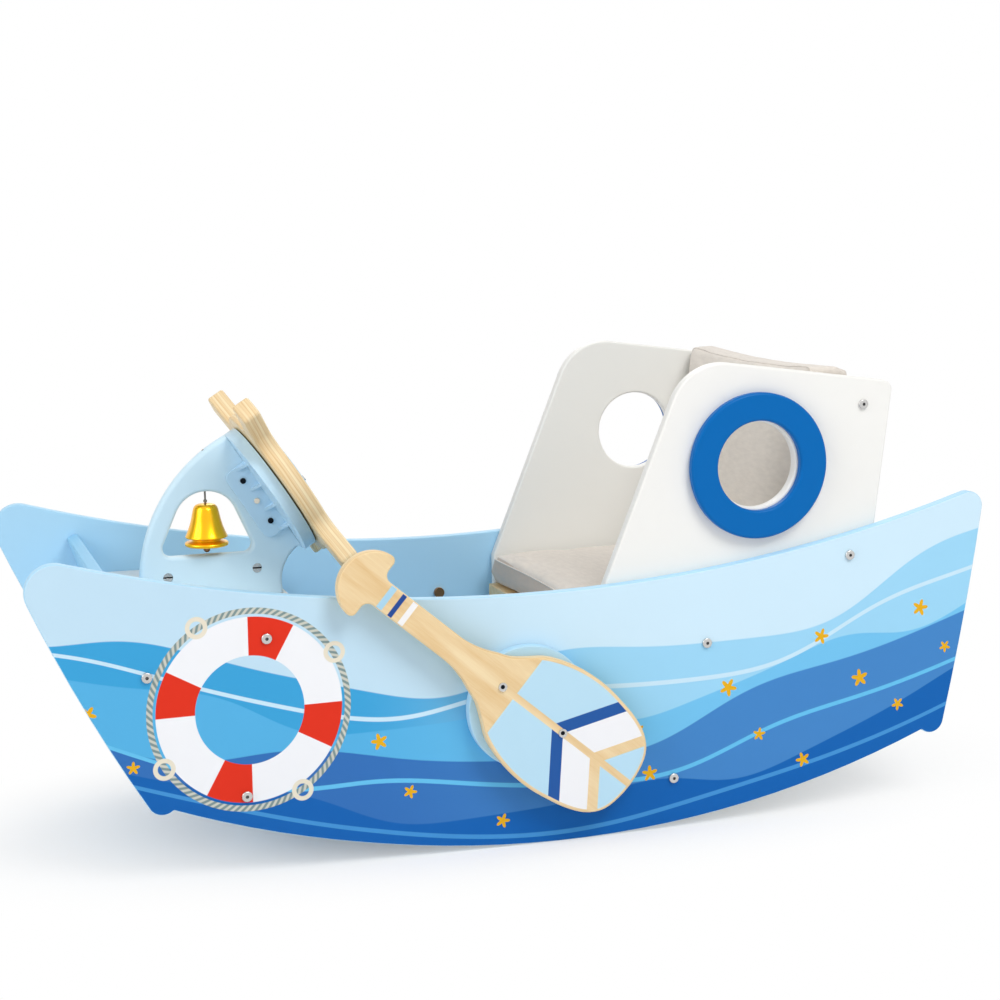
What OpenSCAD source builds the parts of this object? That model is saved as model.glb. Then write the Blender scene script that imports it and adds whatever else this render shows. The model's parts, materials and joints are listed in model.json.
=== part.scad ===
// Rocking boat for a small child. Two bent plywood sides stand on rocker edges and carry a deck,
// a floor, a cabin seat with cushions, a helm console with a bell, and a paddle on each side.
// X runs from bow to stern, Y from port to starboard, Z up from the floor. Millimetres.

/* [Hull sides] */
// Distance from the middle of the boat to the bow tips
bow_reach = 497; // [485:1:510]
// Distance from the middle of the boat to the stern tips
stern_reach = 497; // [485:1:510]
// Radius of the rocker edges
rocker_r = 1078; // [1040:1:1120]
// Where the rocker edges touch the floor, aft of the middle
rocker_x = 30; // [22:1:38]
// Height of the rims at their lowest place
rim_low = 256; // [252:1:264]
// Radius of the sweep of the rims
rim_r = 1650; // [1550:10:1750]
// Place of the lowest point of the rims
rim_x = -10; // [-20:1:0]
// Radius of the bow edges
bow_edge_r = 1600; // [1400:10:1800]
// Rake of the bow edges at the tips
bow_rake = 23; // [21.5:0.5:24.5]
// Rounding of the bow tips
bow_tip_r = 27; // [20:1:32]
// Radius of the stern edges
stern_edge_r = 3000; // [2600:10:3600]
// Rake of the stern edges at the tips
stern_rake = 8.3; // [7:0.1:9.6]
// Rounding of the stern tips
stern_tip_r = 16; // [11:1:21]
// Rounding of the stops that end the rockers
stop_r = 15; // [13:0.5:17]
// How far the stops reach below the ends of the rockers
stop_drop = 15; // [12:0.5:18]
// Thickness of the side panels
side_t = 12; // [10:0.5:14]
// Outward turn of each side toward the bow, in degrees
bow_flare = 2.6; // [1.6:0.1:3.6]
// Place where that turn starts
flare_x = -160; // [-175:1:-145]
// Radius of that turn
bend_r = 500; // [400:10:600]

/* [Cross boards] */
// Thickness of the cross boards
board_t = 12; // [11:0.5:13]
// Lean of the bow board, in degrees
bow_lean = 18.5; // [16:0.5:20]
// Bolt of the bow board, aft of the bow tips
bow_bolt_in = 108; // [104:1:112]
// Bolt of the bow board, above the floor
bow_bolt_z = 207; // [203:1:211]
// Bow board above its bolt
bow_up = 80; // [74:1:84]
// Bow board below its bolt
bow_down = 115; // [105:1:120]
// Top of the fore deck above the floor
deck_z = 240; // [238:1:242]
// Aft edge of the fore deck, behind the bow
deck_in = 283; // [281:1:286]
// Bolt of the fore deck, behind the bow
deck_bolt_in = 223; // [215:1:231]
// Front bolt of the floor board, along the boat
floor_front_x = -298; // [-304:1:-292]
// Front bolt of the floor board, above the ground
floor_front_z = 82; // [79:1:86]
// Rear bolt of the floor board, along the boat
floor_rear_x = 144; // [138:1:150]
// Rear bolt of the floor board, above the ground
floor_rear_z = 53; // [50:1:57]
// Floor board past its bolts
floor_over = 26; // [20:1:30]

/* [Cabin] */
// Width over the two cabin sides
cabin_w = 353; // [345:1:361]
// Thickness of the cabin sides
cabin_t = 12.5; // [11:0.5:14]
// Front edge of the cabin sides
cabin_x = 65; // [60:1:70]
// Height where the front edge starts to lean
kink_z = 232; // [227:1:237]
// Lean of the front edge, in degrees
front_lean = 22.2; // [20.6:0.2:23.8]
// Height of the front top corner before rounding
cabin_z = 481.6; // [477.6:0.2:485.6]
// Fall of the top edge toward the stern, in degrees
top_fall = 7.9; // [7:0.1:8.8]
// Length of the top edge
top_l = 232; // [227:1:238]
// Lean of the rear edge, in degrees
rear_lean = 7.5; // [6.5:0.1:8.5]
// Height of the bottom edge
cabin_low = 165; // [160:1:169]
// Rounding of the front top corner
front_r = 58; // [50:1:66]
// Rounding of the other corners
corner_r = 11; // [8:1:14]
// Porthole centre along the boat
port_x = 241; // [237:1:245]
// Porthole centre above the floor
port_z = 370; // [366:1:374]
// Radius of the porthole in the cabin side
port_r = 44; // [41:0.5:47]
// Step from the porthole to the bore of its ring
ring_step = 2; // [1:0.5:4]
// Width of the ring
ring_w = 29; // [26:0.5:31]
// Thickness of the ring
ring_t = 11; // [9:0.5:12]

/* [Seat] */
// Thickness of the seat board
seat_t = 15; // [13:0.5:16]
// Bolt of the seat board, along the boat
seat_bolt_x = 181; // [176:1:186]
// Bolt of the seat board, above the floor
seat_bolt_z = 191.5; // [189:0.5:194]
// Front edge of the seat board before its bolt
seat_front = 123; // [119:1:127]
// Fall of the seat toward the back, in degrees
seat_tilt = 0; // [-1:0.2:1]
// Lower bolt of the back board, along the boat
back_bolt_x = 341.6; // [338.6:0.5:344.6]
// Lower bolt of the back board, above the floor
back_bolt_z = 271.7; // [268.7:0.5:274.7]
// Lean of the back board, in degrees
back_lean = 7.3; // [6.3:0.1:8.3]
// Upper bolt of the back board above the lower one
back_bolt_up = 156.5; // [152.5:0.5:160]
// Back board above its lower bolt
back_up = 178; // [174:1:182]
// Back board below its lower bolt
back_down = 104; // [101:1:107]
// Seat cushion without its crown
seat_soft = 31; // [28:1:34]
// Crown of the seat cushion
seat_crown = 11; // [8:1:14]
// Back cushion without its crown
back_soft = 50; // [47:1:53]
// Crown of the back cushion
back_crown = 6; // [4:1:8]
// Back cushion above the back board
back_proud = 15; // [10:1:20]
// How far the sides of the cushions are drawn in
draw_in = 4; // [2:0.5:6]

/* [Helm console] */
// Thickness of the console plate
console_t = 15; // [13:0.5:17]
// Foot of the console's front edge, behind the bow
console_in = 130.5; // [127.5:0.5:133.5]
// Radius of the front edge
console_r = 171.5; // [168.5:0.5:174.5]
// Centre of the front edge above the deck
console_up = 15; // [12:0.5:18]
// Centre of the hollow in the rear edge, behind the bow
hollow_in = 322; // [320:0.5:324]
// Centre of that hollow above the deck
hollow_up = 12; // [10:0.5:14]
// Radius of that hollow
hollow_r = 44.5; // [43:0.5:46]
// Middle of the bell window, behind the bow
win_in = 201; // [198:0.5:204]
// Foot of the bell window above the deck
win_up = 45; // [43:0.5:47]
// Half the foot of the bell window
win_half = 51; // [49:0.5:53]
// Height of the bell window before rounding
win_h = 115; // [110:1:120]
// Rounding at the top of the bell window
win_top_r = 33.5; // [31:0.5:36]
// Rounding at the foot of the bell window
win_low_r = 9; // [7:0.5:11]
// Front and rear bolts of the console, behind the bow
console_bolts_in = [159, 251.5];
// Cross nuts of the console above the deck
console_nuts_up = [24, 28];

/* [Helm] */
// Centre of the dial, behind the bow
dial_in = 268; // [266:0.5:270]
// Centre of the dial above the deck
dial_up = 109; // [107:0.5:111]
// Tilt of the dial from level, in degrees
dial_tilt = 57.5; // [56:0.5:59]
// Radius of the dial
dial_r = 72.5; // [69:0.5:76]
// Thickness of the dial
dial_t = 13; // [11:0.5:14]
// Length of the flanges that hold the console
flange_l = 82; // [78:1:86]
// Depth of the flanges
flange_d = 26; // [24:0.5:28]
// Thickness of the flanges
flange_t = 4; // [3:0.5:5]
// Spacing of the flange screws
flange_pitch = 25.5; // [23:0.5:27]
// Gap between dial and wheel, filled by a washer
wheel_gap = 1.5; // [1:0.1:2]
// Thickness of the wheel
wheel_t = 19; // [17:0.5:21]
// Radius of the wheel without its handles
wheel_r = 84; // [80:0.5:88]
// Turn of the wheel in its stored pose, in degrees
wheel_turn = 42; // [38:1:46]
// Half the width of the wheel's handles
knob_half = 13; // [12:0.5:14]
// Rounding of the corners of the handle ends
knob_edge = 5; // [3:0.5:7]
// Radius over the handle ends
handle_r = 135; // [131:0.5:139]
// Rounding of the handle roots
root_r = 20; // [17:0.5:23]
// Radius of the hub plate
hub_r = 39; // [36:0.5:42]
// Thickness of the hub plate
hub_t = 5; // [4:0.5:6]
// Circle of the wheel's face screws
face_screw_at = 54; // [50:0.5:60]
// Radius of the wheel's bolt
helm_bolt_r = 5; // [4:0.5:6]

/* [Bell] */
// Radius of the cord
cord_r = 1; // [0.8:0.1:1.2]
// Length of the free cord
cord_l = 13; // [11:0.5:15]
// Radius of the knot that holds the cord in the console
knot_r = 1.8; // [1.5:0.1:2.2]
// Depth of the knot under the console's edge
knot_in = 1.5; // [1:0.1:2]
// Height of the bell
bell_h = 44; // [42:0.5:46]
// Radius of the bell's mouth
bell_r = 22.5; // [21:0.5:24]
// Radius of the bell's shoulder
bell_top_r = 12.5; // [11.5:0.5:13.5]
// Wall of the bell
bell_wall = 1.6; // [1.2:0.1:2]
// Clapper below the mouth
clapper_drop = 7; // [4:0.5:9]
// Radius of the clapper's ball
clapper_r = 3.6; // [3:0.1:4.2]

/* [Paddles] */
// Pivot along the boat
pivot_x = -15; // [-19:1:-11]
// Pivot above the floor
pivot_z = 145; // [143:1:149]
// Blade's slope below level in the stored pose, in degrees
blade_slope = 40.3; // [37.3:0.5:43.3]
// Thickness of the paddles
paddle_t = 12; // [10:0.5:13]
// Half the width of the shaft
shaft_half = 13.8; // [12.8:0.2:14.8]
// Centre of the grip's end, before the pivot
grip_at = 207; // [203:1:211]
// Radius of the grip
grip_r = 35.5; // [33.5:0.5:37.5]
// Rounding of the grip's tips
grip_tip_r = 6; // [5:0.5:7]
// Widest place of the blade past the pivot
blade_at = 42; // [39:1:45]
// Half the width of the blade
blade_half = 64; // [62:0.5:66]
// Radius of the blade's sides
blade_side_r = 150; // [142:1:158]
// Radius of the blade's tip, struck from its widest place
blade_tip_r = 89; // [86:0.5:91]
// Rounding where the blade's sides meet its tip
blade_round = 42; // [38:1:45]
// Radius of the hollow between shaft and blade
shoulder_r = 95; // [88:1:102]
// Radius of the pad behind each paddle
pad_r = 62; // [60:0.5:63]
// Thickness of the pad
pad_t = 12; // [11:0.5:13]
// Stop pin from the pivot
pin_at = 48; // [46.5:0.5:49.5]
// Direction of the stop pin above level, in degrees
pin_dir = 70.7; // [65.7:0.5:75.7]
// Swing of the blade up from the stored pose, in degrees
swing_up = 35; // [30:1:38]
// Swing of the blade down from the stored pose, in degrees
swing_down = 40; // [35:1:42]
// Paddle screws from the pivot
paddle_screw_at = 40.4; // [38:0.2:42]

/* [Fixings] */
// Radius of the connector bolts
bolt_r = 3; // [2.6:0.1:3.4]
// Radius of their heads
bolt_head_r = 5.2; // [4.8:0.1:5.8]
// Height of their heads
bolt_head_h = 2.6; // [2:0.1:3]
// Length of the bolts under the head
bolt_l = 52; // [49:1:55]
// Radius of the cross nuts
nut_r = 5; // [4.7:0.1:5.3]
// Radius of the pivot bolts
pivot_r = 4; // [3.6:0.1:4.4]

/* [Hidden] */
$fn = 72;
arc_fn = 360;
// Gap between boards that butt together
seam = 0.2;
// Tiny excess of a rounding, so that it crosses its neighbours instead of touching them
blend = 0.03;
// Radial clearance of fixings
fit = 0.1;
// Radial clearance of turning shafts
run = 0.06;
// Gap between faces that turn past each other
slide = 0.5;
// Air around the cushions
soft_gap = 0.8;
// Overlap that joins the features of one moulding
fuse = 1;
far = 1400;
tip_cut = 2.5;

hull_half = cabin_w / 2 + seam;
out_y = hull_half + side_t;
in_half = cabin_w / 2 - cabin_t;
rocker_c = [rocker_x, rocker_r];
rim_c = [rim_x, rim_low + rim_r];

// Centres of the tip roundings, and of the end edges that run tangent to them
bow_f = [bow_tip_r - bow_reach,
         rim_c[1] - sqrt(pow(rim_r + bow_tip_r, 2) - pow(bow_tip_r - bow_reach - rim_x, 2))];
bow_c = bow_f + (bow_edge_r - bow_tip_r) * [cos(bow_rake), sin(bow_rake)];
stern_f = [stern_reach - stern_tip_r,
           rim_c[1] - sqrt(pow(rim_r + stern_tip_r, 2) - pow(stern_reach - stern_tip_r - rim_x, 2))];
stern_c = stern_f + (stern_edge_r - stern_tip_r) * [-cos(stern_rake), sin(stern_rake)];

// Stops below the ends of the rockers, tangent inside the end edges
bow_stop_z = meet(rocker_c, rocker_r, bow_c, bow_edge_r, -1)[1] - stop_drop + stop_r;
stern_stop_z = meet(rocker_c, rocker_r, stern_c, stern_edge_r, 1)[1] - stop_drop + stop_r;
bow_stop = [bow_c[0] - sqrt(pow(bow_edge_r - stop_r, 2) - pow(bow_stop_z - bow_c[1], 2)), bow_stop_z];
stern_stop = [stern_c[0] + sqrt(pow(stern_edge_r - stop_r, 2) - pow(stern_stop_z - stern_c[1], 2)), stern_stop_z];
bow_bolt_x = bow_bolt_in - bow_reach;
deck_aft = deck_in - bow_reach;
deck_bolt_x = deck_bolt_in - bow_reach;
console_foot = console_in - bow_reach;
hollow_x = hollow_in - bow_reach;
win_x = win_in - bow_reach;
console_bolts_x = [for (d = console_bolts_in) d - bow_reach];
dial_x = dial_in - bow_reach;

console_c = [console_foot + console_r, deck_z + console_up];
dial_z = deck_z + dial_up;
wheel_z = dial_t / 2 + wheel_gap;
win_apex = atan(win_half / win_h);
cord_z = deck_z + win_up + win_h - win_top_r / sin(win_apex) + win_top_r;
bell_z = cord_z - cord_l;
clapper_z = bell_z - bell_wall - slide;
pad_y = out_y + slide;
paddle_y = pad_y + pad_t;
floor_slope = atan2(floor_front_z - floor_rear_z, floor_rear_x - floor_front_x);
floor_span = norm([floor_rear_x - floor_front_x, floor_front_z - floor_rear_z]);
cabin_c = [cabin_x + (cabin_z - kink_z) * tan(front_lean), cabin_z];
cabin_d = cabin_c + top_l * [cos(top_fall), -sin(top_fall)];
pin_p = [pivot_x + pin_at * cos(pin_dir), pivot_z + pin_at * sin(pin_dir)];
pin_r = 3;
pin_nut_r = 6;
pin_nut_h = 4;
pin_out = 5;
groove_half = pin_r + slide;
groove_d = pin_out + slide;
pivot_head_r = 8;
pivot_head_h = 4;
pivot_nut_r = 8;
pivot_nut_h = 8;
washer_r = 11;
screw_r = 2;
screw_head_r = 4.4;
screw_head_h = 1.6;
small_r = 1.8;
small_head_r = 3;
small_head_h = 1.8;
nut_l = board_t - 3;
nut_in = bolt_l - 8;

function unit(v) = v / norm(v);

// Crossing of two circles, on the left of the line between them for s = 1
function meet(c1, r1, c2, r2, s) =
    let (d = c2 - c1, l = norm(d), a = (l * l + r1 * r1 - r2 * r2) / (2 * l),
         h = sqrt(max(0, r1 * r1 - a * a)), u = d / l)
    c1 + a * u + s * h * [-u[1], u[0]];

// Distance of a side's face from the middle, off from its inner face
function side_at(x, off) = x >= flare_x ? hull_half + off :
    hull_half + bend_r - (bend_r - off) * cos(bow_flare)
    + (flare_x - (bend_r - off) * sin(bow_flare) - x) * tan(bow_flare);

// Seat of a bolt head on the outside of a side
function head_at(x) = side_at(x, side_t) + (x >= flare_x ? 0 : bolt_head_r * tan(bow_flare));

module disc_at(c, r, n = $fn) translate(c) circle(r, $fn = n);

// What rounding a corner takes off, between its two tangent directions; reach 1 ends where they cross
module tip_waste(f, r, d1, d2, reach = tip_cut, over = 0) difference() {
    polygon([f + r * d1, f + reach * r * (d1 + d2) / (1 + d1 * d2), f + r * d2]);
    disc_at(f, r + over);
}

// Polygon with convex corners rounded by true arcs
module round_poly(p, r) {
    n = len(p);
    function a(i) = unit(p[(i + n - 1) % n] - p[i]);
    function b(i) = unit(p[(i + 1) % n] - p[i]);
    function half(i) = acos(max(-1, min(1, a(i) * b(i)))) / 2;
    difference() {
        polygon(p);
        for (i = [0 : n - 1]) if (r[i] > 0) difference() {
            polygon([p[i] + a(i) * r[i] / tan(half(i)), p[i] - a(i) - b(i), p[i] + b(i) * r[i] / tan(half(i))]);
            disc_at(p[i] + unit(a(i) + b(i)) * r[i] / sin(half(i)), r[i]);
        }
    }
}

// Profile in X and Z pulled out along Y from y0 to y1
module wall(y0, y1) translate([0, y1, 0]) rotate([90, 0, 0]) linear_extrude(y1 - y0) children();

// Cylinder along Y from y0 to y1 at a point in X and Z
module rod(p, r, y0, y1, n = $fn) translate([p[0], y1, p[1]]) rotate([90, 0, 0]) cylinder(r = r, h = y1 - y0, $fn = n);

module both_sides() { children(); mirror([0, 1, 0]) children(); }

// Frames of the leaning boards, each turned about Y only
module in_bow() translate([bow_bolt_x, 0, bow_bolt_z]) rotate([0, -bow_lean, 0]) children();
module in_floor() translate([floor_front_x, 0, floor_front_z]) rotate([0, floor_slope, 0]) children();
module in_seat() translate([seat_bolt_x, 0, seat_bolt_z]) rotate([0, seat_tilt, 0]) children();
module in_back() translate([back_bolt_x, 0, back_bolt_z]) rotate([0, back_lean, 0]) children();
module in_dial() translate([dial_x, 0, dial_z]) rotate([0, dial_tilt, 0]) children();
module in_paddle() translate([pivot_x, 0, pivot_z]) rotate([0, blade_slope, 0]) children();

// Points of the bolts that go through a side
upper_bolt = [back_bolt_x + back_bolt_up * sin(back_lean), back_bolt_z + back_bolt_up * cos(back_lean)];
side_bolts = [[bow_bolt_x, bow_bolt_z], [deck_bolt_x, deck_z - board_t / 2],
              [floor_front_x, floor_front_z], [floor_rear_x, floor_rear_z],
              [seat_bolt_x, seat_bolt_z], [back_bolt_x, back_bolt_z]];

// Block under the end of a rocker, round on its inner corner
module stop_block(c, s) difference() {
    translate([c[0] - stop_r * (s > 0 ? 1 : 2), c[1] - stop_r]) square([3 * stop_r, 1.5 * stop_r]);
    tip_waste(c, stop_r, [0, -1], [-s, 0], 1);
}

module side_profile() difference() {
    intersection() {
        union() {
            disc_at(rocker_c, rocker_r, arc_fn);
            stop_block(bow_stop, -1);
            stop_block(stern_stop, 1);
        }
        disc_at(bow_c, bow_edge_r, arc_fn);
        disc_at(stern_c, stern_edge_r, arc_fn);
        translate([-far / 2, -far / 2]) square([far, far]);
    }
    disc_at(rim_c, rim_r, arc_fn);
    tip_waste(bow_f, bow_tip_r, unit(bow_f - bow_c), unit(rim_c - bow_f));
    tip_waste(stern_f, stern_tip_r, unit(stern_f - stern_c), unit(rim_c - stern_f));
    tip_waste(bow_stop, stop_r, unit(bow_stop - bow_c), [0, -1]);
    tip_waste(stern_stop, stop_r, unit(stern_stop - stern_c), [0, -1]);
}

// Plan of the port side: straight aft, one bend, straight to the bow
bend_c = [flare_x, -hull_half - bend_r];
module aft_plan() translate([flare_x, -out_y]) square([far / 2 - flare_x, side_t]);
module bend_plan() intersection() {
    difference() {
        disc_at(bend_c, bend_r, arc_fn);
        disc_at(bend_c, bend_r - side_t, arc_fn);
    }
    polygon([bend_c, bend_c + [0, bend_r + side_t],
             bend_c + (bend_r + side_t) * [-sin(bow_flare), cos(bow_flare)]]);
}
module bow_plan() translate(bend_c) rotate(bow_flare) translate([-far / 2, bend_r - side_t]) square([far / 2, side_t]);

// Room between the sides, less a gap along each
module between_sides(gap) {
    e = [flare_x - bend_r * sin(bow_flare), hull_half + bend_r * (1 - cos(bow_flare)) - gap];
    f = [-far / 2, e[1] + (e[0] + far / 2) * tan(bow_flare)];
    w = hull_half - gap;
    polygon([[far / 2, -w], [flare_x, -w], [e[0], -e[1]], [f[0], -f[1]],
             f, e, [flare_x, w], [far / 2, w]]);
}

// The part of a side that stands over one piece of its plan
module side_piece() intersection() {
    wall(-far / 4, -in_half) side_profile();
    translate([0, 0, -side_t]) linear_extrude(far / 2) children();
}

module hull_side() difference() {
    union() {
        side_piece() aft_plan();
        side_piece() bend_plan();
        side_piece() bow_plan();
    }
    for (p = side_bolts) rod(p, bolt_r + fit, -far / 2, 0);
    rod([pivot_x, pivot_z], pivot_r + fit, -far / 2, 0);
    rod(pin_p, pin_r + fit, -far / 2, 0);
}

module port_side() color("LightSkyBlue") hull_side();
module starboard_side() color("LightSkyBlue") mirror([0, 1, 0]) hull_side();

// Bores for one pair of connector bolts and their cross nuts, in a frame whose y stays Y
module bolt_bores(half) both_sides() {
    rod([0, 0], bolt_r + fit, -half - fuse, -half + bolt_l + fuse);
    translate([0, -half + nut_in, 0]) children();
}

module nut_bore() translate([0, 0, -board_t]) cylinder(r = nut_r + fit, h = board_t + nut_l / 2 + fit);
module cross_nut() difference() {
    translate([0, 0, -nut_l / 2]) cylinder(r = nut_r, h = nut_l);
    rod([0, 0], bolt_r + fit, -2 * nut_r, 2 * nut_r);
}

module bow_board() color("SkyBlue") difference() {
    intersection() {
        in_bow() translate([-board_t / 2, -far / 2, -bow_down]) cube([board_t, far, bow_up + bow_down]);
        translate([0, 0, -far / 2]) linear_extrude(far) between_sides(seam);
    }
    in_bow() bolt_bores(head_at(bow_bolt_x)) rotate([0, -90, 0]) nut_bore();
}

module fore_deck() color("AliceBlue") difference() {
    intersection() {
        translate([-far / 2, -far / 2, deck_z - board_t]) cube([far / 2 + deck_aft, far, board_t]);
        translate([0, 0, -far / 2]) linear_extrude(far) between_sides(seam);
    }
    in_bow() translate([-far + board_t / 2 + seam, -far / 2, -far / 2]) cube([far, far, far]);
    translate([deck_bolt_x, 0, deck_z - board_t / 2]) bolt_bores(head_at(deck_bolt_x)) nut_bore();
    for (x = console_bolts_x) translate([x, 0, deck_z - board_t - fuse])
        cylinder(r = bolt_r + fit, h = board_t + 2 * fuse);
}

module floor_board() color("SkyBlue") difference() {
    intersection() {
        in_floor() translate([-floor_over, -far / 2, -board_t / 2])
            cube([floor_span + 2 * floor_over, far, board_t]);
        translate([0, 0, -far / 2]) linear_extrude(far) between_sides(seam);
    }
    in_floor() bolt_bores(head_at(floor_front_x)) nut_bore();
    in_floor() translate([floor_span, 0, 0]) bolt_bores(head_at(floor_rear_x)) nut_bore();
}

module seat_board() color("BurlyWood") difference() {
    in_seat() translate([-seat_front, seam - in_half, -seat_t / 2])
        cube([far / 2, 2 * (in_half - seam), seat_t]);
    in_back() translate([-board_t / 2 - seam, -far / 2, -far / 2]) cube([far, far, far]);
    in_seat() bolt_bores(out_y) nut_bore();
}

module back_board() color("White") difference() {
    in_back() translate([-board_t / 2, seam - in_half, -back_down])
        cube([board_t, 2 * (in_half - seam), back_down + back_up]);
    in_back() bolt_bores(out_y) rotate([0, -90, 0]) nut_bore();
    in_back() translate([0, 0, back_bolt_up]) bolt_bores(cabin_w / 2) rotate([0, -90, 0]) nut_bore();
}

module cabin_side() difference() {
    wall(-cabin_w / 2, -in_half) difference() {
        round_poly([[cabin_x, cabin_low], [cabin_x, kink_z], cabin_c, cabin_d,
                    [cabin_d[0] - (cabin_d[1] - cabin_low) * tan(rear_lean), cabin_low]],
                   [corner_r, 0, front_r, corner_r, corner_r]);
        disc_at([port_x, port_z], port_r);
    }
    for (p = concat(side_bolts, [upper_bolt])) rod(p, bolt_r + fit, -far / 2, 0);
}

module port_cabin_side() color("White") cabin_side();
module starboard_cabin_side() color("White") mirror([0, 1, 0]) cabin_side();

module porthole_ring() wall(-cabin_w / 2 - ring_t, -cabin_w / 2) difference() {
    disc_at([port_x, port_z], port_r + ring_step + ring_w);
    disc_at([port_x, port_z], port_r + ring_step);
}
module port_porthole_ring() color("RoyalBlue") porthole_ring();
module starboard_porthole_ring() color("RoyalBlue") mirror([0, 1, 0]) porthole_ring();

// Sewn cushion lying on z = 0: flat below, crowned above, sides drawn in between the corners
module cushion(lx, ly, t, crown) {
    n = 14;
    m = n + 1;
    mid = t * 0.45;
    function s(i) = sin(180 * i / n - 90);
    function puff(u, v, e) = sqrt(max(0, (1 - pow(abs(u), e)) * (1 - pow(abs(v), e))));
    function at(u, v, z) = [u * (lx / 2 - draw_in * (1 - v * v)), v * (ly / 2 - draw_in * (1 - u * u)), z];
    function upper(u, v) = at(u, v, mid + (t - mid) * puff(u, v, 50) + crown * (1 - u * u) * (1 - v * v));
    function lower(u, v) = at(u, v, mid * (1 - puff(u, v, 50)));
    function low_id(i, j) = i == 0 || j == 0 || i == n || j == n ? i * m + j
                                                             : m * m + (i - 1) * (n - 1) + j - 1;
    function cross_cut(i, j) = (i == 0 && j == n - 1) || (i == n - 1 && j == 0);
    function tri(q, f) = f ? [[q[0], q[1], q[3]], [q[1], q[2], q[3]]] : [[q[0], q[1], q[2]], [q[0], q[2], q[3]]];
    points = concat([for (i = [0 : n]) for (j = [0 : n]) upper(s(i), s(j))],
                    [for (i = [1 : n - 1]) for (j = [1 : n - 1]) lower(s(i), s(j))]);
    faces = [for (i = [0 : n - 1]) for (j = [0 : n - 1]) for (k = [0, 1])
             each tri(k == 0 ? [i * m + j, i * m + j + 1, (i + 1) * m + j + 1, (i + 1) * m + j]
                             : [low_id(i, j), low_id(i + 1, j), low_id(i + 1, j + 1), low_id(i, j + 1)],
                      cross_cut(i, j))];
    polyhedron(points, faces, convexity = 4);
}

// Lower end of the back cushion in the frame of the back board, just above the seat
back_foot = (seat_bolt_z + seat_t / 2 - (back_bolt_x - seat_bolt_x) * tan(seat_tilt) - back_bolt_z)
            / cos(back_lean) + 2 * soft_gap + seat_t / 4;
back_l = back_up + back_proud - back_foot;
// Rear end of the seat cushion in the frame of the seat, just before the back cushion
seat_l = seat_front + back_bolt_x - seat_bolt_x + (seat_bolt_z + seat_soft - back_bolt_z) * tan(back_lean)
         - board_t / 2 - back_soft - back_crown / 2 - 3 * soft_gap;

module seat_cushion() color("Silver") in_seat()
    translate([seat_l / 2 - seat_front + soft_gap, 0, seat_t / 2 + soft_gap / 4])
        cushion(seat_l, 2 * (in_half - soft_gap), seat_soft, seat_crown);

module back_cushion() color("Silver") in_back()
    translate([-board_t / 2 - soft_gap / 4, 0, back_foot + back_l / 2]) rotate([0, -90, 0])
        cushion(back_l, 2 * (in_half - soft_gap), back_soft, back_crown);

// Bolt along +Y with its head's seat at the origin
module connector(l) difference() {
    union() {
        rod([0, 0], bolt_head_r, -bolt_head_h, 0);
        rod([0, 0], bolt_r, -fuse, l);
    }
    rod([0, 0], bolt_r * 0.6, -bolt_head_h - fuse, -bolt_head_h * 0.3, 6);
}

module hull_bolts() color("Sienna") both_sides()
    for (p = side_bolts) translate([p[0], -head_at(p[0]), p[1]]) connector(bolt_l);

module cabin_bolts() color("Sienna") both_sides()
    translate([upper_bolt[0], -cabin_w / 2, upper_bolt[1]]) connector(bolt_l);

module board_nuts() color("Gray") both_sides() {
    in_bow() translate([0, nut_in - head_at(bow_bolt_x), 0]) rotate([0, -90, 0]) cross_nut();
    translate([deck_bolt_x, nut_in - head_at(deck_bolt_x), deck_z - board_t / 2]) cross_nut();
    in_floor() translate([0, nut_in - head_at(floor_front_x), 0]) cross_nut();
    in_floor() translate([floor_span, nut_in - out_y, 0]) cross_nut();
    in_seat() translate([0, nut_in - out_y, 0]) cross_nut();
    in_back() translate([0, nut_in - out_y, 0]) rotate([0, -90, 0]) cross_nut();
    in_back() translate([0, nut_in - cabin_w / 2, back_bolt_up]) rotate([0, -90, 0]) cross_nut();
}

module console_profile() difference() {
    intersection() {
        disc_at(console_c, console_r, arc_fn);
        translate([-far / 2, deck_z + seam]) square([far, far]);
    }
    translate([dial_x, dial_z]) rotate(90 - dial_tilt)
        translate([-dial_t / 2 - seam, -far / 2]) square([far, far]);
    disc_at([hollow_x, deck_z + hollow_up], hollow_r);
    round_poly([[win_x - win_half, deck_z + win_up], [win_x, deck_z + win_up + win_h],
                [win_x + win_half, deck_z + win_up]], [win_low_r, win_top_r, win_low_r]);
}

flange_y = console_t / 2 + seam;
flange_hole_z = -dial_t / 2 - flange_d * 0.46;

module console_plate() color("AliceBlue") difference() {
    wall(-console_t / 2, console_t / 2) console_profile();
    for (k = [0, 1]) {
        translate([console_bolts_x[k], 0, deck_z - board_t])
            cylinder(r = bolt_r + fit, h = board_t + console_nuts_up[k] + nut_r + 4 * fuse);
        rod([console_bolts_x[k], deck_z + console_nuts_up[k]], nut_r + fit, -console_t, console_t);
    }
    in_dial() for (k = [-1 : 1])
        rod([k * flange_pitch, flange_hole_z], small_r + fit, -console_t, console_t);
    translate([win_x, 0, cord_z - fuse]) cylinder(r = cord_r + 2 * fit, h = far / 4);
    translate([win_x, 0, console_top - knot_in - 2 * knot_r]) cylinder(r = knot_r + 2 * fit, h = far / 4);
}

module console_bolts() color("Gray") for (k = [0, 1])
    translate([console_bolts_x[k], 0, deck_z - board_t]) difference() {
        union() {
            translate([0, 0, -bolt_head_h]) cylinder(r = bolt_head_r, h = bolt_head_h);
            translate([0, 0, -fuse]) cylinder(r = bolt_r, h = board_t + console_nuts_up[k] + nut_r + fuse);
        }
        translate([0, 0, -bolt_head_h - fuse]) cylinder(r = bolt_r * 0.6, h = fuse + bolt_head_h * 0.7, $fn = 6);
    }

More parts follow.
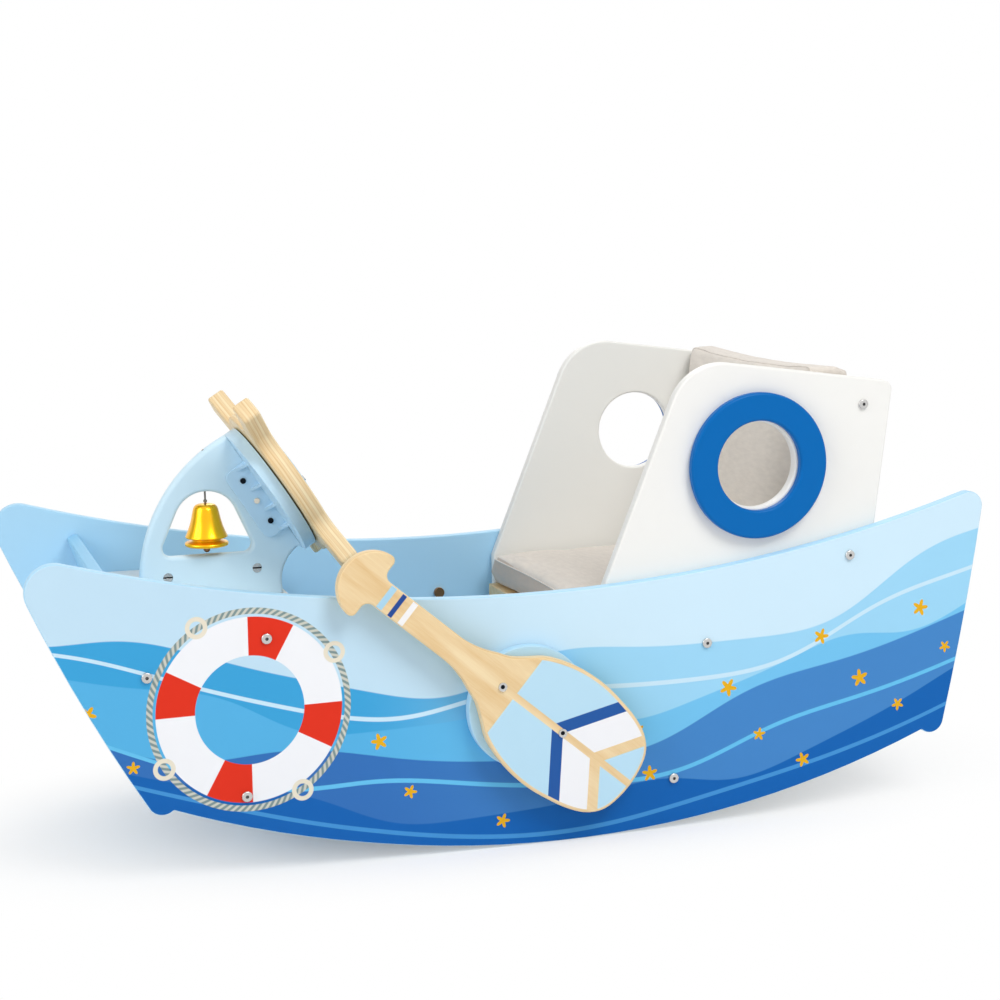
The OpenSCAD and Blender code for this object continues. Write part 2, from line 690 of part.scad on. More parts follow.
// Cross nuts of the console, with a driver slot across each end
module console_nuts() color("Gray") for (k = [0, 1])
    translate([console_bolts_x[k], 0, deck_z + console_nuts_up[k]]) difference() {
        rod([0, 0], nut_r, fuse - console_t / 2, console_t / 2 - fuse);
        cylinder(r = bolt_r + fit, h = 4 * nut_r, center = true);
        for (s = [-1, 1]) translate([0, s * console_t / 2, 0])
            cube([2 * nut_r + fuse, 2 * fuse + nut_r / 2, nut_r / 3], center = true);
    }

module dial_bracket() color("LightBlue") in_dial() difference() {
    union() {
        translate([0, 0, -dial_t / 2]) cylinder(r = dial_r, h = dial_t, $fn = arc_fn / 2);
        both_sides() {
            wall(-flange_y - flange_t, -flange_y) round_poly(
                [[-flange_l / 2, fuse - dial_t / 2], [-flange_l / 2, -dial_t / 2 - flange_d],
                 [flange_l / 2, -dial_t / 2 - flange_d], [flange_l / 2, fuse - dial_t / 2]],
                [0, flange_d / 3, flange_d / 3, 0]);
            for (k = [-1.5 : 1 : 1.5]) translate([k * flange_pitch - flange_t * 0.4, 0, 0])
                rotate([90, 0, 90]) linear_extrude(flange_t * 0.8)
                    polygon([[fuse - flange_y - flange_t, fuse - dial_t / 2],
                             [-flange_y - 3 * flange_t, fuse - dial_t / 2],
                             [-flange_y - 3 * flange_t, -dial_t / 2],
                             [-flange_y - flange_t, -dial_t / 2 - 3 * flange_t],
                             [fuse - flange_y - flange_t, -dial_t / 2 - 3 * flange_t]]);
        }
    }
    for (k = [-1 : 1]) rod([k * flange_pitch, flange_hole_z], small_r + fit, -dial_r, dial_r);
    translate([0, 0, fuse - dial_t / 2]) cylinder(r = helm_bolt_r + fit, h = 2 * dial_t);
}

module bracket_screws() color("DimGray") in_dial() both_sides() for (k = [-1 : 1])
    translate([k * flange_pitch, -flange_y - flange_t, flange_hole_z]) {
        rod([0, 0], small_head_r, -small_head_h, 0);
        rod([0, 0], small_r, -small_head_h / 2, flange_t + console_t / 3);
    }

helm_head_r = helm_bolt_r * 1.7;
helm_head_h = helm_bolt_r * 0.9;
helm_sink = helm_head_h + slide;

// Bolt that carries the wheel: screwed into the dial, its head sunk in the wheel's face
module helm_bolt() color("Silver") in_dial() {
    translate([0, 0, fuse + fit - dial_t / 2])
        cylinder(r = helm_bolt_r, h = dial_t + wheel_gap + wheel_t - helm_sink + slide - fuse);
    translate([0, 0, wheel_z + wheel_t - helm_sink + slide / 2]) cylinder(r = helm_head_r, h = helm_head_h - slide / 2);
}

module helm_washer() color("Silver") in_dial() translate([0, 0, dial_t / 2]) difference() {
    cylinder(r = helm_bolt_r * 2.4, h = wheel_gap - slide / 2);
    translate([0, 0, -fuse]) cylinder(r = helm_bolt_r + fit, h = wheel_gap + 2 * fuse);
}

root_c = [sqrt(pow(wheel_r + root_r, 2) - pow(knob_half + root_r, 2)), knob_half + root_r];
end_c = [sqrt(pow(handle_r - knob_edge, 2) - pow(knob_half - knob_edge, 2)), knob_half - knob_edge];

// Space between two neighbouring handles
module handle_gap() difference() {
    translate([knob_half, knob_half]) square([handle_r, handle_r]);
    disc_at([0, 0], wheel_r, arc_fn / 2);
    tip_waste(root_c, root_r, [0, -1], -unit(root_c), over = blend);
    tip_waste([root_c[1], root_c[0]], root_r, [-1, 0], -unit([root_c[1], root_c[0]]), over = blend);
}

module wheel_profile() difference() {
    disc_at([0, 0], handle_r, arc_fn / 2);
    for (k = [0 : 3]) rotate(wheel_turn + k * 90) {
        handle_gap();
        for (s = [-1, 1])
            tip_waste([end_c[0], s * end_c[1]], knob_edge, [0, s], unit([end_c[0], s * end_c[1]]), over = blend);
    }
}

module helm_wheel() color("Tan") in_dial() difference() {
    translate([0, 0, wheel_z]) linear_extrude(wheel_t) wheel_profile();
    cylinder(r = helm_bolt_r + run, h = far / 4);
    translate([0, 0, wheel_z + wheel_t - helm_sink]) cylinder(r = helm_head_r + slide, h = far / 4);
    for (k = [0 : 4]) rotate(wheel_turn + k * 72) translate([face_screw_at, 0, wheel_z + wheel_t / 3])
        cylinder(r = screw_r + fit, h = wheel_t);
    for (k = [0 : 2]) rotate(wheel_turn + k * 120) translate([hub_r * 0.7, 0, wheel_z + wheel_t / 2])
        cylinder(r = small_r + fit, h = wheel_t);
}

module hub_plate() color("LightBlue") in_dial() difference() {
    translate([0, 0, wheel_z + wheel_t]) cylinder(r = hub_r, h = hub_t, $fn = arc_fn / 3);
    for (k = [0 : 2]) rotate(wheel_turn + k * 120) translate([hub_r * 0.7, 0, wheel_z + wheel_t - fuse])
        cylinder(r = small_r + fit, h = hub_t + 2 * fuse);
}

module hub_screws() color("Silver") in_dial() for (k = [0 : 2])
    rotate(wheel_turn + k * 120) translate([hub_r * 0.7, 0, wheel_z + wheel_t]) {
        translate([0, 0, hub_t]) cylinder(r = small_head_r, h = small_head_h);
        translate([0, 0, fuse - wheel_t / 2]) cylinder(r = small_r, h = wheel_t / 2 + hub_t);
    }

module face_screws() color("Silver") in_dial() for (k = [0 : 4])
    rotate(wheel_turn + k * 72) translate([face_screw_at, 0, wheel_z + wheel_t]) {
        cylinder(r = screw_head_r, h = screw_head_h);
        translate([0, 0, fuse - wheel_t * 2 / 3]) cylinder(r = screw_r, h = wheel_t * 2 / 3);
    }

console_top = console_c[1] + sqrt(pow(console_r, 2) - pow(win_x - console_c[0], 2));

// Fixed end of the bell's cord: a stem in the plate and a knot sunk in the console's edge
module cord_knot() color("Gray") translate([win_x, 0, 0]) {
    translate([0, 0, cord_z + slide]) cylinder(r = cord_r, h = console_top - cord_z - knot_in);
    translate([0, 0, console_top - knot_in]) sphere(r = knot_r);
}

module bell_cord() color("Gray") translate([win_x, 0, 0]) {
    translate([0, 0, bell_z + slide]) cylinder(r = cord_r, h = cord_l - slide);
    translate([0, 0, bell_z + slide + 2 * cord_r]) sphere(r = 2 * cord_r);
}

// Half section of the bell, from the crown to the flared lip
module bell_section(r0, top_r, in) polygon([
    [0, -in], [top_r * 0.62, -in], [top_r * 0.88, -in - bell_h * 0.04], [top_r, -in - bell_h * 0.12],
    [top_r + (r0 - top_r) * 0.4, -bell_h * 0.5], [top_r + (r0 - top_r) * 0.86, -bell_h * 0.8],
    [top_r + (r0 - top_r) * 0.84, -bell_h * 0.86], [r0, -bell_h * 0.93], [r0, -bell_h], [0, -bell_h]]);

module bell() color("Gold") translate([win_x, 0, bell_z]) difference() {
    rotate_extrude() bell_section(bell_r, bell_top_r, 0);
    translate([0, 0, -fuse / 100]) rotate_extrude() bell_section(bell_r - bell_wall, bell_top_r - bell_wall, bell_wall);
}

module bell_clapper() color("Gray") translate([win_x, 0, 0]) {
    translate([0, 0, bell_z - bell_h - clapper_drop + clapper_r])
        cylinder(r = cord_r, h = clapper_z - bell_z + bell_h + clapper_drop - clapper_r);
    translate([0, 0, bell_z - bell_h - clapper_drop + clapper_r]) sphere(r = clapper_r);
}

blade_c = [blade_at, blade_half - blade_side_r];
neck_x = blade_at - sqrt(pow(blade_side_r + shoulder_r, 2) - pow(shaft_half + shoulder_r - blade_c[1], 2));
neck_c = [neck_x, shaft_half + shoulder_r];
neck_t = blade_c + blade_side_r * unit(neck_c - blade_c);
round_c = meet([blade_at, 0], blade_tip_r - blade_round, blade_c, blade_side_r - blade_round, -1);
grip_c = [-grip_at, 0];
grip_face = grip_at - grip_tip_r / 3;
grip_tip_c = [-grip_face - grip_tip_r,
              sqrt(pow(grip_r - grip_tip_r, 2) - pow(grip_at - grip_face - grip_tip_r, 2))];
grip_fillet = grip_tip_r * 1.4;

// Space beside the shaft, up to the blade and the rounded shoulder
module shaft_gap() difference() {
    translate([-far / 2, shaft_half]) square([far, far]);
    disc_at(blade_c, blade_side_r, arc_fn);
    tip_waste(neck_c, shoulder_r, [0, -1], unit(blade_c - neck_c), over = blend);
}

// Outline of a paddle, blade toward +x
module paddle_profile() {
    difference() {
        intersection() {
            translate([-grip_face - fuse, -far / 2]) square([far, far]);
            union() {
                disc_at([blade_at, 0], blade_tip_r, arc_fn / 2);
                translate([-far, -far / 2]) square([far, far]);
            }
        }
        for (s = [0, 1]) mirror([0, s]) {
            shaft_gap();
            tip_waste(round_c, blade_round, unit(round_c - [blade_at, 0]), unit(round_c - blade_c), over = blend);
        }
    }
    difference() {
        intersection() {
            disc_at(grip_c, grip_r, arc_fn / 2);
            translate([-far, -far / 2]) square([far - grip_face, far]);
        }
        for (s = [0, 1]) mirror([0, s])
            tip_waste(grip_tip_c, grip_tip_r, [1, 0], unit(grip_tip_c - grip_c), over = blend);
    }
    for (s = [0, 1]) mirror([0, s]) difference() {
        translate([-grip_face, shaft_half]) square([grip_fillet, grip_fillet]);
        disc_at([grip_fillet - grip_face, shaft_half + grip_fillet], grip_fillet);
    }
}

// Screw and pivot bores of the paddle group lie along its axis
module paddle() in_paddle() difference() {
    wall(-paddle_y - paddle_t, -paddle_y) paddle_profile();
    for (s = [-1, 1]) rod([s * paddle_screw_at, 0], screw_r + fit, -far / 2, 0);
}

// Pad that turns with the paddle: a sunk head on the pivot, a groove that rides on the stop pin
module paddle_pad() difference() {
    rod([pivot_x, pivot_z], pad_r, -paddle_y, -pad_y);
    rod([pivot_x, pivot_z], pivot_r + run, -far / 2, 0);
    rod([pivot_x, pivot_z], pivot_head_r + slide, -far / 2, pivot_head_h + 2 * slide - paddle_y);
    in_paddle() for (s = [-1, 1])
        rod([s * paddle_screw_at, 0], screw_r + fit, -far / 2, -pad_y - pad_t / 4);
    translate([pivot_x, -pad_y, pivot_z]) rotate([90, 0, 0]) {
        g0 = pin_dir - swing_up - slide;
        g1 = pin_dir + swing_down + slide;
        translate([0, 0, -fuse]) intersection() {
            linear_extrude(groove_d + fuse) difference() {
                disc_at([0, 0], pin_at + groove_half);
                disc_at([0, 0], pin_at - groove_half);
            }
            linear_extrude(far) polygon([[0, 0], for (k = [0 : 4])
                2 * pad_r * [cos(g0 + k * (g1 - g0) / 4), sin(g0 + k * (g1 - g0) / 4)]]);
        }
        for (g = [g0, g1]) translate([pin_at * cos(g), pin_at * sin(g), -fuse])
            cylinder(r = groove_half, h = groove_d + fuse);
    }
}

module paddle_screws() in_paddle() for (s = [-1, 1]) {
    rod([s * paddle_screw_at, 0], screw_head_r, -paddle_y - paddle_t - screw_head_h, -paddle_y - paddle_t);
    rod([s * paddle_screw_at, 0], screw_r, -paddle_y - paddle_t - screw_head_h / 2, -pad_y - pad_t / 4 - fuse);
}

module pivot_bolt() {
    rod([pivot_x, pivot_z], pivot_head_r, slide - paddle_y, slide + pivot_head_h - paddle_y);
    rod([pivot_x, pivot_z], pivot_r, slide + pivot_head_h / 2 - paddle_y, pivot_nut_h * 0.7 - hull_half);
}

// Cap nut and washer on the inside of a side
module pivot_nut() difference() {
    union() {
        rod([pivot_x, pivot_z], washer_r, -hull_half, fuse - hull_half);
        rod([pivot_x, pivot_z], pivot_nut_r, fuse / 2 - hull_half, pivot_nut_h * 0.6 - hull_half, 6);
        rod([pivot_x, pivot_z], pivot_nut_r * 0.8, fuse - hull_half, pivot_nut_h - hull_half);
    }
    rod([pivot_x, pivot_z], pivot_r + fit, -far / 2, pivot_nut_h * 0.75 - hull_half);
}

module stop_pin() {
    rod(pin_p, pin_r, -out_y - pin_out, fuse - hull_half);
    rod(pin_p, pin_nut_r, -hull_half, pin_nut_h - hull_half);
}

module port_paddle() color("BurlyWood") paddle();
module starboard_paddle() color("BurlyWood") mirror([0, 1, 0]) paddle();
module port_paddle_pad() color("LightBlue") paddle_pad();
module starboard_paddle_pad() color("LightBlue") mirror([0, 1, 0]) paddle_pad();
module port_paddle_screws() color("Silver") paddle_screws();
module starboard_paddle_screws() color("Silver") mirror([0, 1, 0]) paddle_screws();
module port_pivot_bolt() color("Gray") pivot_bolt();
module starboard_pivot_bolt() color("Gray") mirror([0, 1, 0]) pivot_bolt();
module port_pivot_nut() color("Gray") pivot_nut();
module starboard_pivot_nut() color("Gray") mirror([0, 1, 0]) pivot_nut();
module port_stop_pin() color("Sienna") stop_pin();
module starboard_stop_pin() color("Sienna") mirror([0, 1, 0]) stop_pin();

port_side();
starboard_side();
bow_board();
fore_deck();
floor_board();
seat_board();
back_board();
port_cabin_side();
starboard_cabin_side();
port_porthole_ring();
starboard_porthole_ring();
seat_cushion();
back_cushion();
hull_bolts();
cabin_bolts();
board_nuts();
console_plate();
console_bolts();
console_nuts();
dial_bracket();
bracket_screws();
helm_bolt();
helm_washer();
helm_wheel();
hub_plate();
hub_screws();
face_screws();
cord_knot();
bell_cord();
bell();
bell_clapper();
port_paddle();
starboard_paddle();
port_paddle_pad();
starboard_paddle_pad();
port_paddle_screws();
starboard_paddle_screws();
port_pivot_bolt();
starboard_pivot_bolt();
port_pivot_nut();
starboard_pivot_nut();
port_stop_pin();
starboard_stop_pin();
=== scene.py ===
import json
import math

import bmesh
import bpy
from mathutils import Matrix, Vector


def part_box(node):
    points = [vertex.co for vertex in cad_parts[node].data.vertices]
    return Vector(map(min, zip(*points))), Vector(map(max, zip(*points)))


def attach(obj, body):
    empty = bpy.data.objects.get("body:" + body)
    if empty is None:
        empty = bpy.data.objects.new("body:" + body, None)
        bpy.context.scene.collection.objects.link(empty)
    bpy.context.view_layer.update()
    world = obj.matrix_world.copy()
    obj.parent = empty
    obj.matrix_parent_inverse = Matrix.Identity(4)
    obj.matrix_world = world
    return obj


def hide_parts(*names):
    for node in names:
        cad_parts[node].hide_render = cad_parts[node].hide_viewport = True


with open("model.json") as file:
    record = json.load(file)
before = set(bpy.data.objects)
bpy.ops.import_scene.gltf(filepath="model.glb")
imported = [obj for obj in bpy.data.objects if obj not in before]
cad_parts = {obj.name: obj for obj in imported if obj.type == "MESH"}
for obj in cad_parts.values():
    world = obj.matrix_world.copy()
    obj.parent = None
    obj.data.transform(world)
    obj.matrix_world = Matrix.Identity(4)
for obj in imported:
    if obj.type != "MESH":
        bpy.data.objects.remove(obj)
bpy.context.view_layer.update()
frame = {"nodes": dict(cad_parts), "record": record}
nodes = frame["nodes"]
scene = bpy.context.scene
print("frame loaded,", len(nodes), "nodes")


# shader helpers
def srgb(r, g, b):
    def linear(c):
        c = c / 255
        return c / 12.92 if c <= 0.04045 else ((c + 0.055) / 1.055) ** 2.4
    return (linear(r), linear(g), linear(b), 1.0)


def put(tree, socket, value):
    if isinstance(value, bpy.types.NodeSocket):
        tree.links.new(value, socket)
    elif value is not None:
        socket.default_value = value


def calc(tree, operation, *values):
    node = tree.nodes.new("ShaderNodeMath")
    node.operation = operation
    for socket, value in zip(node.inputs, values):
        put(tree, socket, value)
    return node.outputs[0]


def vectorCalc(tree, operation, a, b):
    node = tree.nodes.new("ShaderNodeVectorMath")
    node.operation = operation
    put(tree, node.inputs[0], a)
    put(tree, node.inputs[1], b)
    return node.outputs[0]


def mixColour(tree, fac, a, b):
    node = tree.nodes.new("ShaderNodeMix")
    node.data_type = "RGBA"
    put(tree, node.inputs[0], fac)
    put(tree, node.inputs[6], a)
    put(tree, node.inputs[7], b)
    return node.outputs[2]


def span(tree, value, low, high, first=0.0, last=1.0, smooth=False):
    node = tree.nodes.new("ShaderNodeMapRange")
    node.interpolation_type = "SMOOTHSTEP" if smooth else "LINEAR"
    for socket, item in zip(node.inputs, (value, low, high, first, last)):
        put(tree, socket, item)
    return node.outputs[0]


def noise(tree, vector, scale, detail=2.0, roughness=0.5):
    node = tree.nodes.new("ShaderNodeTexNoise")
    put(tree, node.inputs["Vector"], vector)
    node.inputs["Scale"].default_value = scale
    node.inputs["Detail"].default_value = detail
    node.inputs["Roughness"].default_value = roughness
    return node.outputs[0]


def stretched(tree, vector, scale, detail, roughness=0.5):  # noise drawn out along an axis
    return noise(tree, vectorCalc(tree, "MULTIPLY", vector, scale), 1.0, detail, roughness)


def parts(tree, vector):
    node = tree.nodes.new("ShaderNodeSeparateXYZ")
    put(tree, node.inputs[0], vector)
    return node.outputs[0], node.outputs[1], node.outputs[2]


def inside(tree, distance, soft=0.0003):
    return span(tree, distance, soft, -soft)  # 1 where the signed distance is below zero


def lengthOf(tree, a, b):
    return calc(tree, "SQRT", calc(tree, "MULTIPLY_ADD", a, a, calc(tree, "MULTIPLY", b, b)))


def bandOf(tree, value, middle, half):  # signed distance to a band round its middle
    return calc(tree, "SUBTRACT", calc(tree, "ABSOLUTE", calc(tree, "SUBTRACT", value, middle)), half)


def newGroup(name, inputs, outputs):
    tree = bpy.data.node_groups.new(name, "ShaderNodeTree")
    for label, kind, value in inputs:
        socket = tree.interface.new_socket(label, in_out="INPUT", socket_type="NodeSocket" + kind)
        if value is not None:
            socket.default_value = value
    for label, kind in outputs:
        tree.interface.new_socket(label, in_out="OUTPUT", socket_type="NodeSocket" + kind)
    return tree, tree.nodes.new("NodeGroupInput").outputs, tree.nodes.new("NodeGroupOutput").inputs


def useGroup(tree, group, **values):
    node = tree.nodes.new("ShaderNodeGroup")
    node.node_tree = group
    for label, value in values.items():
        put(tree, node.inputs[label], value)
    return node.outputs


def newMaterial(name, roughness=0.45, metallic=0.0, coat=0.0, gleam=0.3):
    material = bpy.data.materials.new(name)
    material.use_nodes = True
    tree = material.node_tree
    shader = tree.nodes["Principled BSDF"]
    shader.inputs["Roughness"].default_value = roughness
    shader.inputs["Metallic"].default_value = metallic
    shader.inputs["Coat Weight"].default_value = coat
    shader.inputs["Specular IOR Level"].default_value = gleam
    return material, tree, shader, tree.nodes.new("ShaderNodeTexCoord").outputs["Object"]


def addBump(tree, shader, height, strength, distance):
    bump = tree.nodes.new("ShaderNodeBump")
    bump.inputs["Strength"].default_value = strength
    bump.inputs["Distance"].default_value = distance
    put(tree, bump.inputs["Height"], height)
    put(tree, shader.inputs["Normal"], bump.outputs[0])


def pieceFrame(tree, coord, origin, angle):
    moved = vectorCalc(tree, "SUBTRACT", coord, origin)
    turn = tree.nodes.new("ShaderNodeVectorRotate")
    turn.rotation_type = "Y_AXIS"
    turn.inputs["Angle"].default_value = -angle
    put(tree, turn.inputs["Vector"], moved)
    return turn.outputs[0]


# lacquer over paint: a faint mottle, a film with orange peel
paintSkin, take, give = newGroup(
    "paintSkin",
    [("Vector", "Vector", None), ("Colour", "Color", None),
     ("Mottle", "Float", 0.05), ("Gloss", "Float", 0.42)],
    [("Colour", "Color"), ("Roughness", "Float"), ("Height", "Float")])
cloud = noise(paintSkin, take["Vector"], 9.0, 3.0)
peel = noise(paintSkin, take["Vector"], 420.0, 1.0)
shade = calc(paintSkin, "MULTIPLY_ADD", calc(paintSkin, "SUBTRACT", cloud, 0.5), take["Mottle"], 1.0)
shadeNode = paintSkin.nodes.new("ShaderNodeVectorMath")
shadeNode.operation = "SCALE"
put(paintSkin, shadeNode.inputs[0], take["Colour"])
put(paintSkin, shadeNode.inputs["Scale"], shade)
put(paintSkin, give["Colour"], shadeNode.outputs[0])
put(paintSkin, give["Roughness"], calc(paintSkin, "MULTIPLY_ADD", cloud, 0.12, take["Gloss"]))
put(paintSkin, give["Height"], peel)

# birch face veneer, grain along the X of its vector
birchGrain, take, give = newGroup(
    "birchGrain",
    [("Vector", "Vector", None), ("Light", "Color", srgb(246, 222, 178)),
     ("Dark", "Color", srgb(226, 186, 126))],
    [("Colour", "Color"), ("Roughness", "Float"), ("Height", "Float")])
grainSpec = dict(streak=(7.0, 95.0, 95.0), fibre=(60.0, 1500.0, 1500.0), flow=(3.5, 24.0, 24.0))
streak = stretched(birchGrain, take["Vector"], grainSpec["streak"], 4.0, 0.6)
fibre = stretched(birchGrain, take["Vector"], grainSpec["fibre"], 2.0)
flow = stretched(birchGrain, take["Vector"], grainSpec["flow"], 2.0)
figure = calc(birchGrain, "SINE", calc(birchGrain, "MULTIPLY", flow, 42.0))
amount = calc(birchGrain, "MULTIPLY_ADD", figure, 0.10, span(birchGrain, streak, 0.3, 0.72, 0.05, 0.75))
amount = calc(birchGrain, "MULTIPLY_ADD", calc(birchGrain, "SUBTRACT", fibre, 0.5), 0.45, amount)
amount = calc(birchGrain, "MAXIMUM", amount, 0.0)
put(birchGrain, give["Colour"], mixColour(birchGrain, amount, take["Light"], take["Dark"]))
put(birchGrain, give["Roughness"], span(birchGrain, streak, 0.2, 0.8, 0.42, 0.56))
put(birchGrain, give["Height"], fibre)

# sawn plywood edge: thin plies along Depth with dark glue lines
plyLayers, take, give = newGroup(
    "plyLayers",
    [("Vector", "Vector", None), ("Along", "Vector", None),
     ("Depth", "Float", 0.0), ("Ply", "Float", 0.0024)],
    [("Colour", "Color"), ("Height", "Float")])
thread = noise(plyLayers, take["Along"], 1.0, 3.0, 0.55)
wander = calc(plyLayers, "MULTIPLY_ADD", noise(plyLayers, take["Vector"], 30.0, 1.0), 0.0016, take["Depth"])
steps = calc(plyLayers, "DIVIDE", wander, take["Ply"])
place = calc(plyLayers, "FLOORED_MODULO", steps, 1.0)
glue = span(plyLayers, bandOf(plyLayers, place, 0.5, 0.34), 0.0, 0.16, smooth=True)
parity = calc(plyLayers, "FLOORED_MODULO", calc(plyLayers, "FLOOR", steps), 2.0)
saw = noise(plyLayers, take["Vector"], 260.0, 3.0)
turnShare = calc(plyLayers, "MULTIPLY", parity, 0.45)
tone = mixColour(plyLayers, turnShare, srgb(248, 228, 188), srgb(232, 198, 144))
tone = mixColour(plyLayers, span(plyLayers, thread, 0.42, 0.72, 0.0, 0.75), tone, srgb(220, 178, 118))
tone = mixColour(plyLayers, calc(plyLayers, "MULTIPLY", glue, 0.3), tone, srgb(196, 152, 98))
put(plyLayers, give["Colour"], tone)
put(plyLayers, give["Height"], saw)

# woven cover: two crossing thread directions and a soft mottle
clothWeave, take, give = newGroup(
    "clothWeave",
    [("Vector", "Vector", None), ("Colour", "Color", None), ("Thread", "Float", 2600.0)],
    [("Colour", "Color"), ("Height", "Float")])
wx, wy, wz = parts(clothWeave, take["Vector"])
slope = calc(clothWeave, "ADD", wx, wz)
warp = calc(clothWeave, "SINE", calc(clothWeave, "MULTIPLY", slope, take["Thread"]))
weft = calc(clothWeave, "SINE", calc(clothWeave, "MULTIPLY", wy, take["Thread"]))
weave = calc(clothWeave, "MULTIPLY", warp, weft)
slub = stretched(clothWeave, take["Vector"], (240.0, 70.0, 240.0), 3.0)
dim = calc(clothWeave, "MULTIPLY_ADD", weave, 0.12, calc(clothWeave, "MULTIPLY", slub, 0.5))
put(clothWeave, give["Colour"], mixColour(clothWeave, dim, take["Colour"], srgb(190, 182, 174)))
put(clothWeave, give["Height"], calc(clothWeave, "MULTIPLY_ADD", slub, 0.5, weave))

# small five-armed motif, scattered on the hull print
starSpot, take, give = newGroup(
    "starSpot",
    [("Vector", "Vector", None), ("Place", "Vector", None), ("Size", "Float", 0.01), ("Turn", "Float", 0.0)],
    [("Mask", "Float")])
sx, _, sz = parts(starSpot, vectorCalc(starSpot, "SUBTRACT", take["Vector"], take["Place"]))
reach = lengthOf(starSpot, sx, sz)
turned = calc(starSpot, "ADD", calc(starSpot, "ARCTAN2", sz, sx), take["Turn"])
arms = calc(starSpot, "COSINE", calc(starSpot, "MULTIPLY", turned, 5.0))
limit = calc(starSpot, "MULTIPLY", take["Size"], calc(starSpot, "MULTIPLY_ADD", arms, 0.3, 0.7))
put(starSpot, give["Mask"], inside(starSpot, calc(starSpot, "SUBTRACT", reach, limit)))

# hull print ground: bands of plain waves between rocker edge and rim
waveBands, take, give = newGroup("waveBands", [("Vector", "Vector", None)], [("Colour", "Color")])
hx, _, hz = parts(waveBands, take["Vector"])
sheerSpec = dict(keelAt=0.03, keelCurve=0.485, rimAt=-0.01, rimCurve=0.31, rimLow=0.256)


def squareOf(tree, value, centre, scale, base):
    shifted = calc(tree, "SUBTRACT", value, centre)
    return calc(tree, "MULTIPLY_ADD", calc(tree, "MULTIPLY", shifted, shifted), scale, base)


keel = squareOf(waveBands, hx, sheerSpec["keelAt"], sheerSpec["keelCurve"], 0.0)
rim = squareOf(waveBands, hx, sheerSpec["rimAt"], sheerSpec["rimCurve"], sheerSpec["rimLow"])
level = calc(waveBands, "SUBTRACT", hz, keel)
level = calc(waveBands, "DIVIDE", level, calc(waveBands, "SUBTRACT", rim, keel))
aft = span(waveBands, hx, -0.2, 0.1, smooth=True)


def waveEdge(tree, x, spec):
    swing = calc(tree, "MULTIPLY_ADD", x, spec["pitch"], spec["phase"])
    swing = calc(tree, "MULTIPLY_ADD", calc(tree, "SINE", swing), spec["lean"], swing)
    line = calc(tree, "MULTIPLY_ADD", calc(tree, "SINE", swing), spec["swing"], spec["level"])
    return calc(tree, "MULTIPLY_ADD", x, spec["rise"], line)


bandSpecs = [
    dict(level=0.69, swing=0.075, pitch=15.0, phase=0.6, lean=0.5, rise=0.12,
         fore=(62, 165, 220), rear=(160, 217, 247)),
    dict(level=0.50, swing=0.055, pitch=19.0, phase=2.2, lean=-0.5, rise=0.05,
         fore=(88, 180, 230), rear=(118, 198, 241)),
    dict(level=0.36, swing=0.060, pitch=13.0, phase=4.0, lean=0.6, rise=0.24,
         fore=(54, 114, 186), rear=(70, 136, 202)),
    dict(level=0.14, swing=0.045, pitch=17.0, phase=0.2, lean=-0.6, rise=0.06,
         fore=(20, 100, 180), rear=(16, 100, 180))]
lineSpecs = [
    dict(level=0.575, swing=0.05, pitch=15.0, phase=1.4, lean=0.4, rise=0.09, tint=(205, 234, 250)),
    dict(level=0.235, swing=0.04, pitch=15.0, phase=3.2, lean=0.4, rise=0.07, tint=(104, 196, 240)),
    dict(level=0.055, swing=0.02, pitch=11.0, phase=5.0, lean=0.3, rise=0.03, tint=(70, 150, 214))]
bandSoft = 0.0025
lineHalf = dict(full=0.0075, none=0.0105)
# the plain ground is painted darker towards the bow as painted shade; the bands change tint along the hull as
# print
ground = mixColour(waveBands, aft, srgb(197, 227, 245), srgb(210, 237, 252))
for spec in bandSpecs:
    edge = waveEdge(waveBands, hx, spec)
    mask = span(waveBands, calc(waveBands, "SUBTRACT", edge, level), -bandSoft, bandSoft)
    tint = mixColour(waveBands, aft, srgb(*spec["fore"]), srgb(*spec["rear"]))
    ground = mixColour(waveBands, mask, ground, tint)
for spec in lineSpecs:
    off = calc(waveBands, "ABSOLUTE", calc(waveBands, "SUBTRACT", waveEdge(waveBands, hx, spec), level))
    mask = span(waveBands, off, lineHalf["none"], lineHalf["full"])
    ground = mixColour(waveBands, mask, ground, srgb(*spec["tint"]))
put(waveBands, give["Colour"], ground)
print("shader groups built")


# materials
def paintMaterial(name, colour, mottle=0.05, gloss=0.36, coat=0.0, gleam=0.25):
    material, tree, shader, coord = newMaterial(name, coat=coat, gleam=gleam)
    skin = useGroup(tree, paintSkin, Vector=coord, Colour=srgb(*colour), Mottle=mottle, Gloss=gloss)
    put(tree, shader.inputs["Base Color"], skin["Colour"])
    put(tree, shader.inputs["Roughness"], skin["Roughness"])
    addBump(tree, shader, skin["Height"], 0.12, 0.0002)
    return material


# stars: place along the hull, share of its height there, size and turn
spotSpecs = [
    (-0.445, 0.33, 0.0085, 0.3), (-0.405, 0.14, 0.0065, 1.0), (-0.165, 0.42, 0.0085, 0.7),
    (-0.135, 0.22, 0.0070, 0.1), (-0.040, 0.10, 0.0075, 1.3), (0.105, 0.40, 0.0080, 0.5),
    (0.118, 0.22, 0.0085, 0.9), (0.205, 0.50, 0.0095, 0.2), (0.240, 0.27, 0.0070, 1.1),
    (0.290, 0.10, 0.0080, 0.6), (0.310, 0.60, 0.0085, 0.0), (0.355, 0.36, 0.0095, 0.8),
    (0.400, 0.17, 0.0070, 0.4), (0.425, 0.56, 0.0090, 1.2), (0.455, 0.33, 0.0065, 0.3)]
ringSpec = dict(x=-0.2919, z=0.166, outer=0.0905, inner=0.053, turn=math.radians(-14.8),
                half=math.radians(14.7), rope=0.0962, ropeHalf=0.0030, strands=92.0, slant=900.0,
                loop=0.0085, loopHalf=0.0022, loopOut=0.001)
